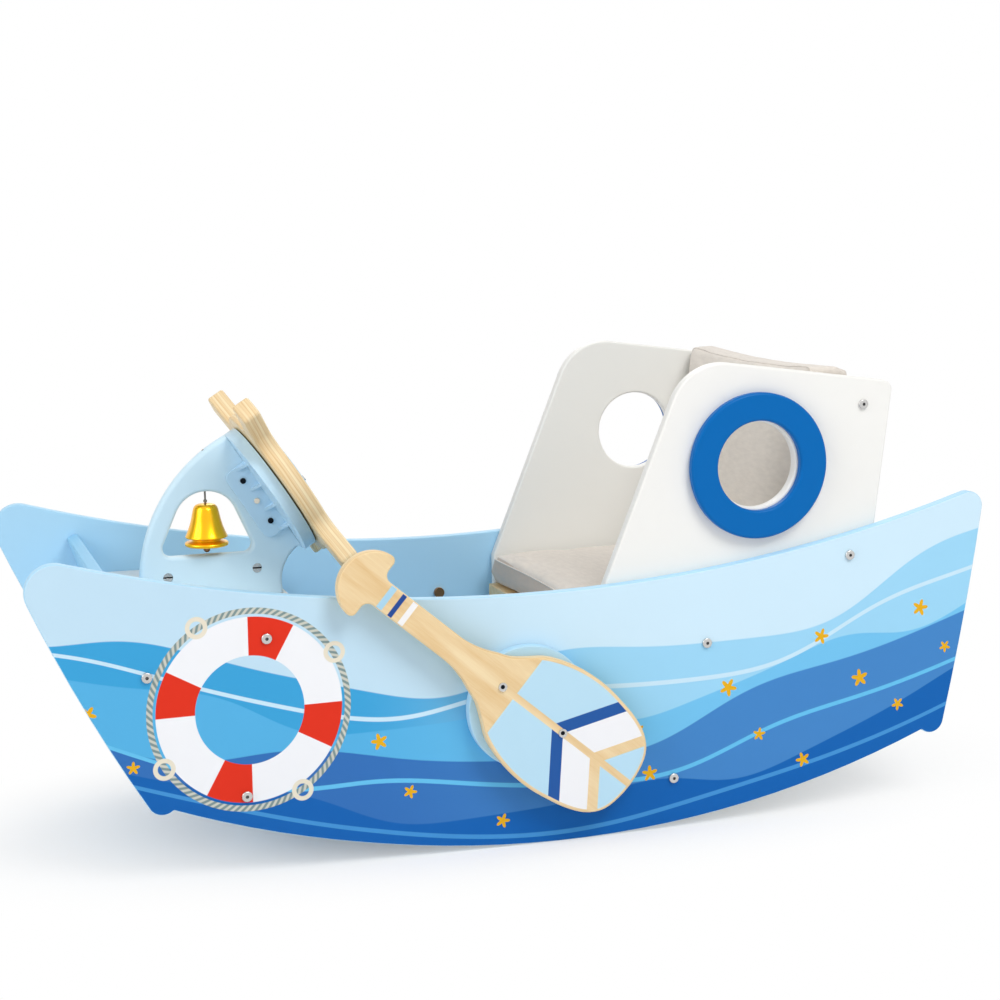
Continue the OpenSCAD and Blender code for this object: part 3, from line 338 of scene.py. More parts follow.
anchorSpec = dict(x=-0.300, z=0.172, tilt=math.radians(-12), armTop=0.012, fluke=0.019, flukeSlope=0.8,
                  arms=dict(centre=0.0, size=0.058, half=0.007),
                  eye=dict(centre=0.062, size=0.0125, half=0.0045),
                  shank=dict(halfU=0.0062, lowV=-0.062, highV=0.05),
                  stock=dict(halfU=0.031, lowV=0.026, highV=0.037))


def lifeRing(tree, colour, x, z):
    spec = ringSpec
    dx = calc(tree, "SUBTRACT", x, spec["x"])
    dz = calc(tree, "SUBTRACT", z, spec["z"])
    radius = lengthOf(tree, dx, dz)
    angle = calc(tree, "ARCTAN2", dz, dx)

    def quarter(offset):
        turned = calc(tree, "ADD", angle, math.pi * 0.25 - offset)
        return calc(tree, "SUBTRACT", calc(tree, "FLOORED_MODULO", turned, math.pi / 2), math.pi * 0.25)

    # twisted rope round the ring
    drift = calc(tree, "SUBTRACT", radius, spec["rope"])
    ropeMask = inside(tree, calc(tree, "SUBTRACT", calc(tree, "ABSOLUTE", drift), spec["ropeHalf"]))
    twist = calc(tree, "MULTIPLY_ADD", drift, spec["slant"], calc(tree, "MULTIPLY", angle, spec["strands"]))
    twist = calc(tree, "SINE", twist)
    rope = mixColour(tree, span(tree, twist, -0.5, 0.5), srgb(128, 150, 150), srgb(208, 208, 196))
    colour = mixColour(tree, ropeMask, colour, rope)
    # the ring with four red wraps
    band = bandOf(tree, radius, (spec["outer"] + spec["inner"]) / 2, (spec["outer"] - spec["inner"]) / 2)
    wrap = calc(tree, "SUBTRACT", calc(tree, "ABSOLUTE", quarter(spec["turn"])), spec["half"])
    body = mixColour(tree, inside(tree, wrap, 0.004), srgb(246, 247, 250), srgb(229, 52, 30))
    colour = mixColour(tree, inside(tree, band), colour, body)
    # rope eyes between the wraps
    local = quarter(spec["turn"] + math.pi / 4)
    u = calc(tree, "MULTIPLY", radius, calc(tree, "COSINE", local))
    u = calc(tree, "SUBTRACT", u, spec["rope"] + spec["loopOut"])
    v = calc(tree, "MULTIPLY", radius, calc(tree, "SINE", local))
    eye = bandOf(tree, lengthOf(tree, u, v), spec["loop"], spec["loopHalf"])
    return mixColour(tree, inside(tree, eye), colour, srgb(236, 228, 208))


def anchor(tree, colour, x, z):
    spec = anchorSpec
    cosine, sine = math.cos(spec["tilt"]), math.sin(spec["tilt"])
    dx = calc(tree, "SUBTRACT", x, spec["x"])
    dz = calc(tree, "SUBTRACT", z, spec["z"])
    u = calc(tree, "ABSOLUTE", calc(tree, "MULTIPLY_ADD", dx, cosine, calc(tree, "MULTIPLY", dz, sine)))
    v = calc(tree, "MULTIPLY_ADD", dz, cosine, calc(tree, "MULTIPLY", dx, -sine))

    def bar(halfU, lowV, highV):
        tall = bandOf(tree, v, (lowV + highV) / 2, (highV - lowV) / 2)
        return calc(tree, "MAXIMUM", calc(tree, "SUBTRACT", u, halfU), tall)

    def hoop(centre, size, half):
        return bandOf(tree, lengthOf(tree, u, calc(tree, "SUBTRACT", v, centre)), size, half)

    under = calc(tree, "ADD", v, spec["armTop"])
    arms = calc(tree, "MAXIMUM", hoop(**spec["arms"]), under)
    fluke = calc(tree, "ADD", calc(tree, "ABSOLUTE", calc(tree, "SUBTRACT", u, spec["arms"]["size"])),
                 calc(tree, "ABSOLUTE", calc(tree, "MULTIPLY", under, spec["flukeSlope"])))
    shape = calc(tree, "MINIMUM", arms, calc(tree, "SUBTRACT", fluke, spec["fluke"]))
    for bit in (bar(**spec["shank"]), bar(**spec["stock"]), hoop(**spec["eye"])):
        shape = calc(tree, "MINIMUM", shape, bit)
    return mixColour(tree, inside(tree, shape), colour, srgb(246, 240, 222))


def hullPrint(name, figure):
    material, tree, shader, coord = newMaterial(name, gleam=0.12)
    x, _, z = parts(tree, coord)
    colour = useGroup(tree, waveBands, Vector=coord)["Colour"]
    mask = None
    for at, share, size, turn in spotSpecs:
        low = sheerSpec["keelCurve"] * (at - sheerSpec["keelAt"]) ** 2
        high = sheerSpec["rimLow"] + sheerSpec["rimCurve"] * (at - sheerSpec["rimAt"]) ** 2
        place = (at, 0.0, low + share * (high - low))
        spot = useGroup(tree, starSpot, Vector=coord, Place=place, Size=size, Turn=turn)["Mask"]
        mask = spot if mask is None else calc(tree, "MAXIMUM", mask, spot)
    colour = figure(tree, mixColour(tree, mask, colour, srgb(236, 178, 28)), x, z)
    skin = useGroup(tree, paintSkin, Vector=coord, Colour=colour, Mottle=0.03, Gloss=0.34)
    put(tree, shader.inputs["Base Color"], skin["Colour"])
    put(tree, shader.inputs["Roughness"], skin["Roughness"])
    addBump(tree, shader, skin["Height"], 0.1, 0.0002)
    return material


def woodMaterial(name, origin, angle, coat=0.15):
    material, tree, shader, coord = newMaterial(name, coat=coat)
    grain = useGroup(tree, birchGrain, Vector=pieceFrame(tree, coord, origin, angle))
    put(tree, shader.inputs["Base Color"], grain["Colour"])
    put(tree, shader.inputs["Roughness"], grain["Roughness"])
    addBump(tree, shader, grain["Height"], 0.12, 0.0003)
    return material


fibreScale = dict(across=430.0, along=9.0)  # threads on a sawn edge run along its plies


def edgeMaterial(name, origin, angle, axis, ply):
    material, tree, shader, coord = newMaterial(name, roughness=0.6)
    local = pieceFrame(tree, coord, origin, angle)
    scale = [fibreScale["across" if k == axis else "along"] for k in range(3)]
    along = vectorCalc(tree, "MULTIPLY", local, scale)
    layers = useGroup(tree, plyLayers, Vector=local, Along=along, Depth=parts(tree, local)[axis], Ply=ply)
    put(tree, shader.inputs["Base Color"], layers["Colour"])
    addBump(tree, shader, layers["Height"], 0.25, 0.0003)
    return material


wheelFrame = dict(origin=(-0.229, 0.0, 0.349), angle=math.radians(57.5))
paddleFrame = dict(origin=(-0.015, 0.0, 0.145), angle=math.radians(40.3))
bladeSpec = dict(at=0.042, half=0.064, side=0.150, tip=0.089, corner=0.042, shaft=0.0138, shoulder=0.095,
                 longer=dict(low=0.090, high=0.131, size=0.0035),
                 fuller=dict(low=0.065, high=0.105, size=0.0026),
                 slimmer=dict(at=-0.043, reach=0.026, size=0.0042), core=0.03, slack=0.02, near=0.0003)
printSpec = dict(border=0.0035, blend=0.012, start=0.024, rib=0.0036, soft=0.0003, slope=-0.733,
                 field=(188, 225, 244),
                 rings=[(-0.194, -0.1875, (170, 214, 238)), (-0.180, -0.175, (6, 66, 148)),
                        (-0.167, -0.161, (246, 244, 244))],
                 chevrons=[(0.026, (2, 82, 160)), (0.041, (246, 246, 248)), (0.078, None),
                           (0.092, (188, 225, 244))])


def paddlePrint(name):
    material, tree, shader, coord = newMaterial(name, coat=0.15)
    local = pieceFrame(tree, coord, paddleFrame["origin"], paddleFrame["angle"])
    grain = useGroup(tree, birchGrain, Vector=local)
    x, _, w = parts(tree, local)
    side = calc(tree, "ABSOLUTE", w)
    colour = grain["Colour"]
    painted = None
    # rings of colour on the shaft
    for low, high, tint in printSpec["rings"]:
        mask = inside(tree, bandOf(tree, x, (low + high) / 2, (high - low) / 2))
        colour = mixColour(tree, mask, colour, srgb(*tint))
        painted = mask if painted is None else calc(tree, "MAXIMUM", painted, mask)
    # the blade's field, inside a bare border and on both sides of a bare rib
    longer, fuller = (span(tree, x, spec["low"], spec["high"], 0.0, spec["size"], smooth=True)
                      for spec in (bladeSpec["longer"], bladeSpec["fuller"]))
    away = calc(tree, "SUBTRACT", calc(tree, "SUBTRACT", x, longer), bladeSpec["at"])
    wide = calc(tree, "SUBTRACT", side, fuller)
    flank = calc(tree, "ADD", wide, bladeSpec["side"] - bladeSpec["half"])
    flankRoom = calc(tree, "SUBTRACT", bladeSpec["side"] - printSpec["border"], lengthOf(tree, flank, away))
    tipRoom = calc(tree, "SUBTRACT", bladeSpec["tip"] - printSpec["border"], lengthOf(tree, wide, away))
    room = calc(tree, "SMOOTH_MIN", flankRoom, tipRoom, printSpec["blend"])
    room = calc(tree, "MINIMUM", room, calc(tree, "ADD", x, printSpec["start"]))
    room = calc(tree, "MINIMUM", room, calc(tree, "SUBTRACT", side, printSpec["rib"]))
    field = span(tree, room, -printSpec["soft"], printSpec["soft"])
    chevron = calc(tree, "MULTIPLY_ADD", side, printSpec["slope"], x)
    tint = srgb(*printSpec["field"])
    for start, paint in printSpec["chevrons"]:  # None leaves bare wood
        mask = span(tree, chevron, start - printSpec["soft"], start + printSpec["soft"])
        tint = mixColour(tree, mask, tint, srgb(*paint) if paint else colour)
    put(tree, shader.inputs["Base Color"], mixColour(tree, field, colour, tint))
    glossy = calc(tree, "MAXIMUM", field, painted)
    put(tree, shader.inputs["Roughness"], span(tree, glossy, 0.0, 1.0, 0.5, 0.36))
    addBump(tree, shader, grain["Height"], 0.1, 0.0003)
    return material


def metalMaterial(name, colour, roughness):
    material, tree, shader, coord = newMaterial(name, roughness, metallic=1.0, gleam=0.5)
    scuff = noise(tree, coord, 500.0, 3.0)
    shader.inputs["Base Color"].default_value = srgb(*colour)
    put(tree, shader.inputs["Roughness"], span(tree, scuff, 0.3, 0.7, roughness * 0.8, roughness * 1.25))
    addBump(tree, shader, scuff, 0.05, 0.0001)
    return material


def clothMaterial(name, colour):
    material, tree, shader, coord = newMaterial(name, roughness=0.9)
    cloth = useGroup(tree, clothWeave, Vector=coord, Colour=srgb(*colour))
    put(tree, shader.inputs["Base Color"], cloth["Colour"])
    shader.inputs["Sheen Weight"].default_value = 0.25
    addBump(tree, shader, cloth["Height"], 0.22, 0.0004)
    crumple = tree.nodes.new("ShaderNodeBump")
    crumple.inputs["Strength"].default_value = 0.35
    crumple.inputs["Distance"].default_value = 0.003
    put(tree, crumple.inputs["Height"], noise(tree, coord, 22.0, 2.0))
    put(tree, shader.inputs["Normal"].links[0].from_node.inputs["Normal"], crumple.outputs[0])
    return material


portPrint = hullPrint("portPrint", lifeRing)
starboardPrint = hullPrint("starboardPrint", anchor)
hullPaint = paintMaterial("hullPaint", (176, 220, 246))
deckPaint = paintMaterial("deckPaint", (236, 240, 240))
boardPaint = paintMaterial("boardPaint", (150, 205, 238))
consolePaint = paintMaterial("consolePaint", (211, 237, 250))
cabinPaint = paintMaterial("cabinPaint", (244, 243, 239), mottle=0.03)
# a slightly darker copy of the cabin paint for the inner faces: painted shade
cabinInnerShade = paintMaterial("cabinInnerShade", (236, 236, 232), mottle=0.03)
ringPaint = paintMaterial("ringPaint", (0, 104, 180), gloss=0.3, gleam=0.12)
mouldedBlue = paintMaterial("mouldedBlue", (196, 228, 248), mottle=0.02, gloss=0.28, coat=0.2)
padPaint = paintMaterial("padPaint", (184, 222, 243))
paddleFace = paddlePrint("paddleFace")
paddleWood = woodMaterial("paddleWood", **paddleFrame)
paddleEdge = edgeMaterial("paddleEdge", axis=1, ply=0.0024, **paddleFrame)
wheelWood = woodMaterial("wheelWood", **wheelFrame)
wheelEdge = edgeMaterial("wheelEdge", axis=2, ply=0.0032, **wheelFrame)
seatWood = woodMaterial("seatWood", (0.0, 0.0, 0.2), 0.0)
steel = metalMaterial("steel", (205, 204, 202), 0.28)
# near-black steel: the real colour of the outer bracket screws, and painted shade on the floors of screw
# recesses and in nut slots
darkSteelAndRecessShade = metalMaterial("darkSteelAndRecessShade", (26, 30, 36), 0.4)
# a darker copy of the steel for the walls of bolt sockets: painted shade
socketShadeSteel = metalMaterial("socketShadeSteel", (104, 104, 106), 0.45)
bronze = metalMaterial("bronze", (168, 122, 84), 0.35)
brightZinc = metalMaterial("brightZinc", (232, 222, 206), 0.3)
cushionCloth = clothMaterial("cushionCloth", (241, 233, 223))
# a darker, warmer copy of the cushion cloth for the front faces: painted shade
cushionFrontShade = clothMaterial("cushionFrontShade", (226, 204, 184))

bellGold, bellTree, bellShader, bellCoord = newMaterial("bellGold", 0.3, coat=0.35, gleam=0.5)
bellShader.inputs["Base Color"].default_value = srgb(255, 190, 0)
bellShader.inputs["Metallic"].default_value = 0.85
bellShader.inputs["Coat Roughness"].default_value = 0.04
addBump(bellTree, bellShader, noise(bellTree, bellCoord, 700.0, 1.0), 0.04, 0.0001)
cordFibre, cordTree, cordShader, cordCoord = newMaterial("cordFibre", 0.8)
cordSpec = dict(lay=5200.0, slant=3000.0, dark=(104, 100, 96), light=(168, 162, 154))
_, cordY, cordZ = parts(cordTree, cordCoord)
# the cord is painted darker in the grooves between strands and lighter on their crowns: painted shade
lay = calc(cordTree, "MULTIPLY", cordY, cordSpec["slant"])
strand = calc(cordTree, "SINE", calc(cordTree, "MULTIPLY_ADD", cordZ, cordSpec["lay"], lay))
raised = span(cordTree, strand, -1.0, 1.0)
cordTint = mixColour(cordTree, raised, srgb(*cordSpec["dark"]), srgb(*cordSpec["light"]))
put(cordTree, cordShader.inputs["Base Color"], cordTint)
addBump(cordTree, cordShader, strand, 0.4, 0.0003)
print("materials built")


def addObject(name, data):
    piece = bpy.data.objects.new(name, data)
    scene.collection.objects.link(piece)
    return piece


def middleOf(edge):
    return (edge.verts[0].co + edge.verts[1].co) / 2


# edges of closed outlines smaller than limit, such as bores
def boreEdges(edges, limit):
    left, small = set(edges), set()
    while left:
        chain = [left.pop()]
        for edge in chain:
            for other in (link for vert in edge.verts for link in vert.link_edges):
                if other in left:
                    left.remove(other)
                    chain.append(other)
        points = [vert.co for edge in chain for vert in edge.verts]
        sizes = [max(point[k] for point in points) - min(point[k] for point in points) for k in range(3)]
        if max(sizes) < limit:
            small.update(chain)
    return small


bodies = frame["record"]["behaviour"]["bodies"]
bodyOf = {member: body for body, members in bodies.items() for member in members}
meshSpec = dict(merge=0.00002, flat=math.radians(0.05), seam=0.00001, sliver=0.000005,
                sharp=math.radians(50), weight=80)


# pieces taken from the CAD meshes: merged, edges rounded, shaded
def softCopy(node, name, materials, slot, width, segments, pick=None, skip=None, crease=50, bore=0.0,
             wide=None, clamp=True, sunk=None, form=None):
    mesh = nodes[node].data.copy()
    mesh.name = name
    work = bmesh.new()
    work.from_mesh(mesh)
    bmesh.ops.remove_doubles(work, verts=work.verts, dist=meshSpec["merge"])
    bmesh.ops.dissolve_limit(work, angle_limit=meshSpec["flat"], verts=work.verts, edges=work.edges)
    for vert in work.verts if form else ():
        vert.co = form(vert.co)
    work.normal_update()
    if sunk:  # a recess in each flat head
        heads = [face for face in work.faces
                 if len(face.verts) >= sunk["corners"] and sunk["least"] < face.calc_area() < sunk["most"]]
        for head in heads:
            inset = math.sqrt(head.calc_area() / math.pi) * sunk["share"]
            bmesh.ops.inset_individual(work, faces=[head], thickness=inset)
            bmesh.ops.translate(work, vec=head.normal * -sunk["depth"], verts=head.verts)
            head.material_index = 1
        work.normal_update()
    sharp = [edge for edge in work.edges
             if len(edge.link_faces) == 2 and edge.calc_face_angle() > math.radians(crease)]
    small = boreEdges(sharp, bore)
    sharp = [edge for edge in sharp if edge not in small and not (skip and skip(middleOf(edge)))]
    first = [edge for edge in sharp if wide and wide["where"](middleOf(edge))]
    rest = [edge for edge in sharp if edge not in first]
    rounds = [(rest, width, segments)]
    if wide:
        rounds.append((first, wide["width"], wide["segments"]))
    for edges, size, count in rounds:
        if edges and size:
            valid = [edge for edge in edges if edge.is_valid]
            bmesh.ops.bevel(work, geom=valid, offset=size, offset_type="OFFSET", segments=count,
                            profile=0.5, affect="EDGES", clamp_overlap=clamp, material=-1)
    bmesh.ops.remove_doubles(work, verts=work.verts, dist=meshSpec["seam"])
    bmesh.ops.dissolve_degenerate(work, edges=work.edges, dist=meshSpec["sliver"])
    work.normal_update()
    for face in work.faces:
        face.smooth = True
        face.material_index = pick(face) if pick else face.material_index if sunk else 0
    mesh.materials.clear()
    for material in materials:
        mesh.materials.append(material)
    work.to_mesh(mesh)
    work.free()
    if "custom_normal" in mesh.attributes:
        mesh.attributes.remove(mesh.attributes["custom_normal"])
    mesh.set_sharp_from_angle(angle=meshSpec["sharp"])
    piece = addObject(name, mesh)
    weighted = piece.modifiers.new("weighted", "WEIGHTED_NORMAL")
    weighted.keep_sharp = True
    weighted.weight = meshSpec["weight"]
    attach(piece, bodyOf[node])
    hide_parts(node)
    return piece


boreLimit = 0.03  # no rounding on holes for fixings
panelCrease = 32  # degrees from which an edge of a panel is rounded

# hull sides: print on the outer face, plain paint inside and on the edges
hullRound = dict(width=0.0028, segments=3)
printLimit = 0.75
sideSpecs = [("port_side", "portHull", -1, portPrint), ("starboard_side", "starboardHull", 1, starboardPrint)]
for node, name, sign, outer in sideSpecs:
    softCopy(node, name, [hullPaint, outer], "side_paint", crease=panelCrease, bore=boreLimit,
             pick=lambda face, s=sign: int(face.normal.y * s > printLimit), **hullRound)

# cross boards and cabin
boardSpecs = [
    ("bow_board", "bowBoard", 0.0020, boardPaint, "board_paint"),
    ("fore_deck", "foreDeck", 0.0015, deckPaint, "deck_paint"),
    ("floor_board", "floorBoard", 0.0015, boardPaint, "board_paint"),
    ("seat_board", "seatBoard", 0.0012, seatWood, "plywood"),
    ("back_board", "backBoard", 0.0020, cabinPaint, "cabin_paint")]
boardSegments = 3
for node, name, width, paint, slot in boardSpecs:
    softCopy(node, name, [paint], slot, width, boardSegments, crease=panelCrease, bore=boreLimit)
cabinRound = dict(width=0.0026, segments=3)
innerLimit = -0.9
# the inner faces take the darker copy of the cabin paint as painted shade
for node, name, sign in (("port_cabin_side", "portCabin", -1), ("starboard_cabin_side", "starboardCabin", 1)):
    softCopy(node, name, [cabinPaint, cabinInnerShade], "cabin_paint", crease=panelCrease, bore=boreLimit,
             pick=lambda face, s=sign: int(face.normal.y * s < innerLimit), **cabinRound)
ringRound = dict(width=0.0032, segments=4)
for node, name in (("port_porthole_ring", "portRing"), ("starboard_porthole_ring", "starboardRing")):
    softCopy(node, name, [ringPaint], "ring_paint", **ringRound)
print("hull and cabin done")

# console, bracket and wheel
consoleSpec = dict(foot=0.2405, centre=(-0.195, 0.255), radius=0.1715, archNear=0.002,
                   tip=(-0.274, 0.0, 0.4072), seatNear=0.0015)
windowRound = dict(width=0.0038, segments=4)
archRound = dict(width=0.0052, segments=6)
bracketRound = dict(width=0.0009, segments=2)
wheelRound = dict(width=0.0028, segments=3)
hubRound = dict(width=0.0016, segments=3)
wheelNormal = Vector((math.sin(wheelFrame["angle"]), 0.0, math.cos(wheelFrame["angle"])))
wheelFlat = 0.8


def onArch(point):
    away = math.hypot(point.x - consoleSpec["centre"][0], point.z - consoleSpec["centre"][1])
    return abs(away - consoleSpec["radius"]) < consoleSpec["archNear"]


def atSeat(point):  # edges on the deck and behind the dial stay square
    away = (point - Vector(consoleSpec["tip"])).dot(wheelNormal)
    return point.z < consoleSpec["foot"] or abs(away) < consoleSpec["seatNear"]


softCopy("console_plate", "consolePlate", [consolePaint], "deck_paint", bore=boreLimit, skip=atSeat,
         wide=dict(archRound, where=onArch), clamp=False, **windowRound)
softCopy("dial_bracket", "dialBracket", [mouldedBlue], "moulded_blue", bore=boreLimit, **bracketRound)
softCopy("helm_wheel", "helmWheel", [wheelWood, wheelEdge], "plywood", bore=boreLimit,
         pick=lambda face: 0 if abs(face.normal.dot(wheelNormal)) > wheelFlat else 1, **wheelRound)
softCopy("hub_plate", "hubPlate", [mouldedBlue], "moulded_blue", bore=boreLimit, **hubRound)

# paddles: print on the outer face, bare plies on the edge
paddleRound = dict(width=0.0022, segments=3)
padRound = dict(width=0.0012, segments=2)
paddleFlat = 0.8


def bladeArcs():  # centres of the side arc, the neck's hollow and the corner arc, in the paddle's own plane
    side = Vector((bladeSpec["at"], bladeSpec["half"] - bladeSpec["side"]))
    up = bladeSpec["shaft"] + bladeSpec["shoulder"]
    reach = bladeSpec["side"] + bladeSpec["shoulder"]
    neck = Vector((bladeSpec["at"] - math.sqrt(reach ** 2 - (up - side.y) ** 2), up))
    toTip = bladeSpec["tip"] - bladeSpec["corner"]
    toSide = bladeSpec["side"] - bladeSpec["corner"]
    rise = (toSide ** 2 - toTip ** 2 - side.y ** 2) / (-2 * side.y)
    return side, neck, Vector((math.sqrt(toTip ** 2 - rise ** 2), rise))


sideCentre, neckCentre, cornerStep = bladeArcs()


def smoothStep(value, low, high, size):
    share = min(max((value - low) / (high - low), 0.0), 1.0)
    return size * share * share * (3 - 2 * share)


def bearing(point):
    return math.atan2(point.y, point.x)


def onBlade(point):  # the sides run on to the neck, and the corners of the tip are round
    turn = Matrix.Rotation(paddleFrame["angle"], 2)
    flat = turn @ Vector((point.x - paddleFrame["origin"][0], point.z - paddleFrame["origin"][2]))
    half = Vector((flat.x, abs(flat.y)))
    middle = Vector((bladeSpec["at"], 0.0))
    for sign in (-1, 1):
        centre = middle + Vector((sign * cornerStep.x, cornerStep.y))
        away = half - centre
        first, last = bearing(centre - middle), bearing(centre - sideCentre)
        share = (bearing(away) - first) / (last - first)
        onArc = -bladeSpec["slack"] < share < 1 + bladeSpec["slack"]
        if onArc and sign < 0 and abs(away.length - bladeSpec["corner"]) < bladeSpec["near"]:
            start = bearing(neckCentre - sideCentre)
            angle = start + (last - start) * min(max(share, 0.0), 1.0)
            half = sideCentre + Vector((math.cos(angle), math.sin(angle))) * bladeSpec["side"]
        elif 0.0 < share < 1.0 and sign > 0 and away.length > bladeSpec["corner"]:
            half = centre + away.normalized() * bladeSpec["corner"]
    slimmer = bladeSpec["slimmer"]
    near = max(1 - ((half.x - slimmer["at"]) / slimmer["reach"]) ** 2, 0.0)
    edge = min(half.y / bladeSpec["core"], 1.0)  # the screw holes and the middle of the tip keep their place
    half.y += edge * edge * (smoothStep(half.x, **bladeSpec["fuller"]) - slimmer["size"] * near * near)
    half.x += smoothStep(half.x, **bladeSpec["longer"])
    flat = turn.inverted() @ Vector((half.x, math.copysign(half.y, flat.y)))
    return Vector((flat.x + paddleFrame["origin"][0], point.y, flat.y + paddleFrame["origin"][2]))


def paddleSlot(face, sign):  # print outside, bare wood inside, plies round the edge
    out = face.normal.y * sign
    return 1 if out > paddleFlat else 2 if out < -paddleFlat else 0


for side, sign in (("port", -1), ("starboard", 1)):
    softCopy(side + "_paddle", side + "Paddle", [paddleEdge, paddleFace, paddleWood], "plywood",
             bore=boreLimit, form=onBlade, pick=lambda face, s=sign: paddleSlot(face, s), **paddleRound)
    softCopy(side + "_paddle_pad", side + "PaddlePad", [padPaint], "board_paint", bore=boreLimit, **padRound)

# fixings
fixRound = dict(width=0.0003, segments=2)
fixSpecs = [
    ("board_nuts", "boardNuts", steel), ("helm_bolt", "helmBolt", steel),
    ("helm_washer", "helmWasher", steel), ("console_bolts", "consoleBolts", steel),
    ("port_pivot_bolt", "portPivotBolt", steel), ("starboard_pivot_bolt", "starboardPivotBolt", steel),
    ("port_pivot_nut", "portPivotNut", steel), ("starboard_pivot_nut", "starboardPivotNut", steel),
    ("port_stop_pin", "portStopPin", bronze), ("starboard_stop_pin", "starboardStopPin", bronze),
    ("bell_clapper", "bellClapper", bronze)]
for node, name, metal in fixSpecs:
    softCopy(node, name, [metal], "steel", **fixRound)
screwRound = dict(width=0.0005, segments=2)
screwSocket = dict(corners=12, least=0.000016, most=0.0002, share=0.5, depth=0.0009)
screwSpecs = [
    ("hub_screws", "hubScrews"), ("face_screws", "faceScrews"), ("port_paddle_screws", "portPaddleScrews"),
    ("starboard_paddle_screws", "starboardPaddleScrews")]
# the recess floors take the dark steel as painted shade
for node, name in screwSpecs:
    softCopy(node, name, [steel, darkSteelAndRecessShade], "steel", sunk=screwSocket, **screwRound)


def axisPlaces(node, apart):  # bolts of one node stand along Y, so each has one place in X and Z
    points = [vert.co for vert in nodes[node].data.vertices]
    places = []
    for point in points:
        if not any(math.hypot(point.x - x, point.z - z) < apart for x, z, reach in places):
            near = [other for other in points if math.hypot(other.x - point.x, other.z - point.z) < apart]
            middle = [(min(spot[k] for spot in near) + max(spot[k] for spot in near)) / 2 for k in (0, 2)]
            places.append((*middle, max(abs(spot.y) for spot in near)))
    return places


boltRound = dict(width=0.0011, segments=3)
boltSpec = dict(apart=0.012, bore=0.0039, socket=0.0022, low=0.0004, deep=0.0030)


def inSocket(face, places):
    at = face.calc_center_median()
    for x, z, reach in places:
        under = reach - abs(at.y)
        if math.hypot(at.x - x, at.z - z) < boltSpec["socket"] and boltSpec["low"] < under < boltSpec["deep"]:
            return 1
    return 0


# faces inside each bolt socket take the darker steel as painted shade
for node, name in (("hull_bolts", "hullBolts"), ("cabin_bolts", "cabinBolts")):
    places = axisPlaces(node, boltSpec["apart"])
    softCopy(node, name, [steel, socketShadeSteel], "steel", bore=boltSpec["bore"],
             pick=lambda face, at=places: inSocket(face, at), **boltRound)
nutSlot = dict(half=0.0064, flat=0.5)


def inSlot(face):
    return int(abs(face.calc_center_median().y) < nutSlot["half"] and abs(face.normal.y) > nutSlot["flat"])


# faces in the nut slots take the dark steel as painted shade
softCopy("console_nuts", "consoleNuts", [steel, darkSteelAndRecessShade], "steel", pick=inSlot, **fixRound)
screwLow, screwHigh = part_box("bracket_screws")
screwMiddle = (screwLow[2] + screwHigh[2]) / 2
zincHalf = 0.008
softCopy("bracket_screws", "bracketScrews", [darkSteelAndRecessShade, brightZinc], "steel",
         pick=lambda face: int(abs(face.calc_center_median().z - screwMiddle) < zincHalf), **fixRound)
for node, name in (("cord_knot", "cordKnot"), ("bell_cord", "bellCord")):
    softCopy(node, name, [cordFibre], "cord", width=0.0, segments=1)
print("console, paddles and fixings done")

# bell: one profile spun round, with a groove above the lip
bellSpec = dict(x=-0.296, foot=0.29387, steps=64, profile=[
    (0.0016, 0.0440), (0.0050, 0.0439), (0.0080, 0.0434), (0.0103, 0.0424), (0.0119, 0.0407),
    (0.0129, 0.0383), (0.0138, 0.0345), (0.0153, 0.0275), (0.0170, 0.0215), (0.0190, 0.0160),
    (0.0207, 0.0120), (0.0216, 0.0102), (0.0218, 0.0094), (0.0212, 0.0088), (0.0185, 0.0083),
    (0.0158, 0.0078), (0.0147, 0.0070), (0.0147, 0.0058), (0.0160, 0.0050), (0.0190, 0.0045),
    (0.0214, 0.0041), (0.0223, 0.0032), (0.0225, 0.0020), (0.0220, 0.0006), (0.0210, 0.0001),
    (0.0196, 0.0012), (0.0176, 0.0028), (0.0152, 0.0040), (0.0136, 0.0054), (0.0134, 0.0074),
    (0.0138, 0.0150), (0.0134, 0.0230), (0.0123, 0.0310), (0.0112, 0.0380), (0.0080, 0.0408),
    (0.0016, 0.0414)])
bellMesh = bpy.data.meshes.new("towerBell")
work = bmesh.new()
previous = None
for radius, height in bellSpec["profile"]:
    point = work.verts.new((bellSpec["x"] + radius, 0.0, bellSpec["foot"] + height))
    if previous:
        work.edges.new((previous, point))
    previous = point
bmesh.ops.spin(work, geom=work.verts[:] + work.edges[:], cent=(bellSpec["x"], 0.0, 0.0), axis=(0, 0, 1),
               angle=math.tau, steps=bellSpec["steps"], use_merge=True)
bmesh.ops.recalc_face_normals(work, faces=work.faces)
for face in work.faces:
    face.smooth = True
work.to_mesh(bellMesh)
work.free()
bellMesh.materials.append(bellGold)
bellPiece = addObject("towerBell", bellMesh)
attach(bellPiece, "bell")
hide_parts("bell")


clothSpec = dict(quality=6, mass=0.2, stiff=12, bend=0.6, frames=20)


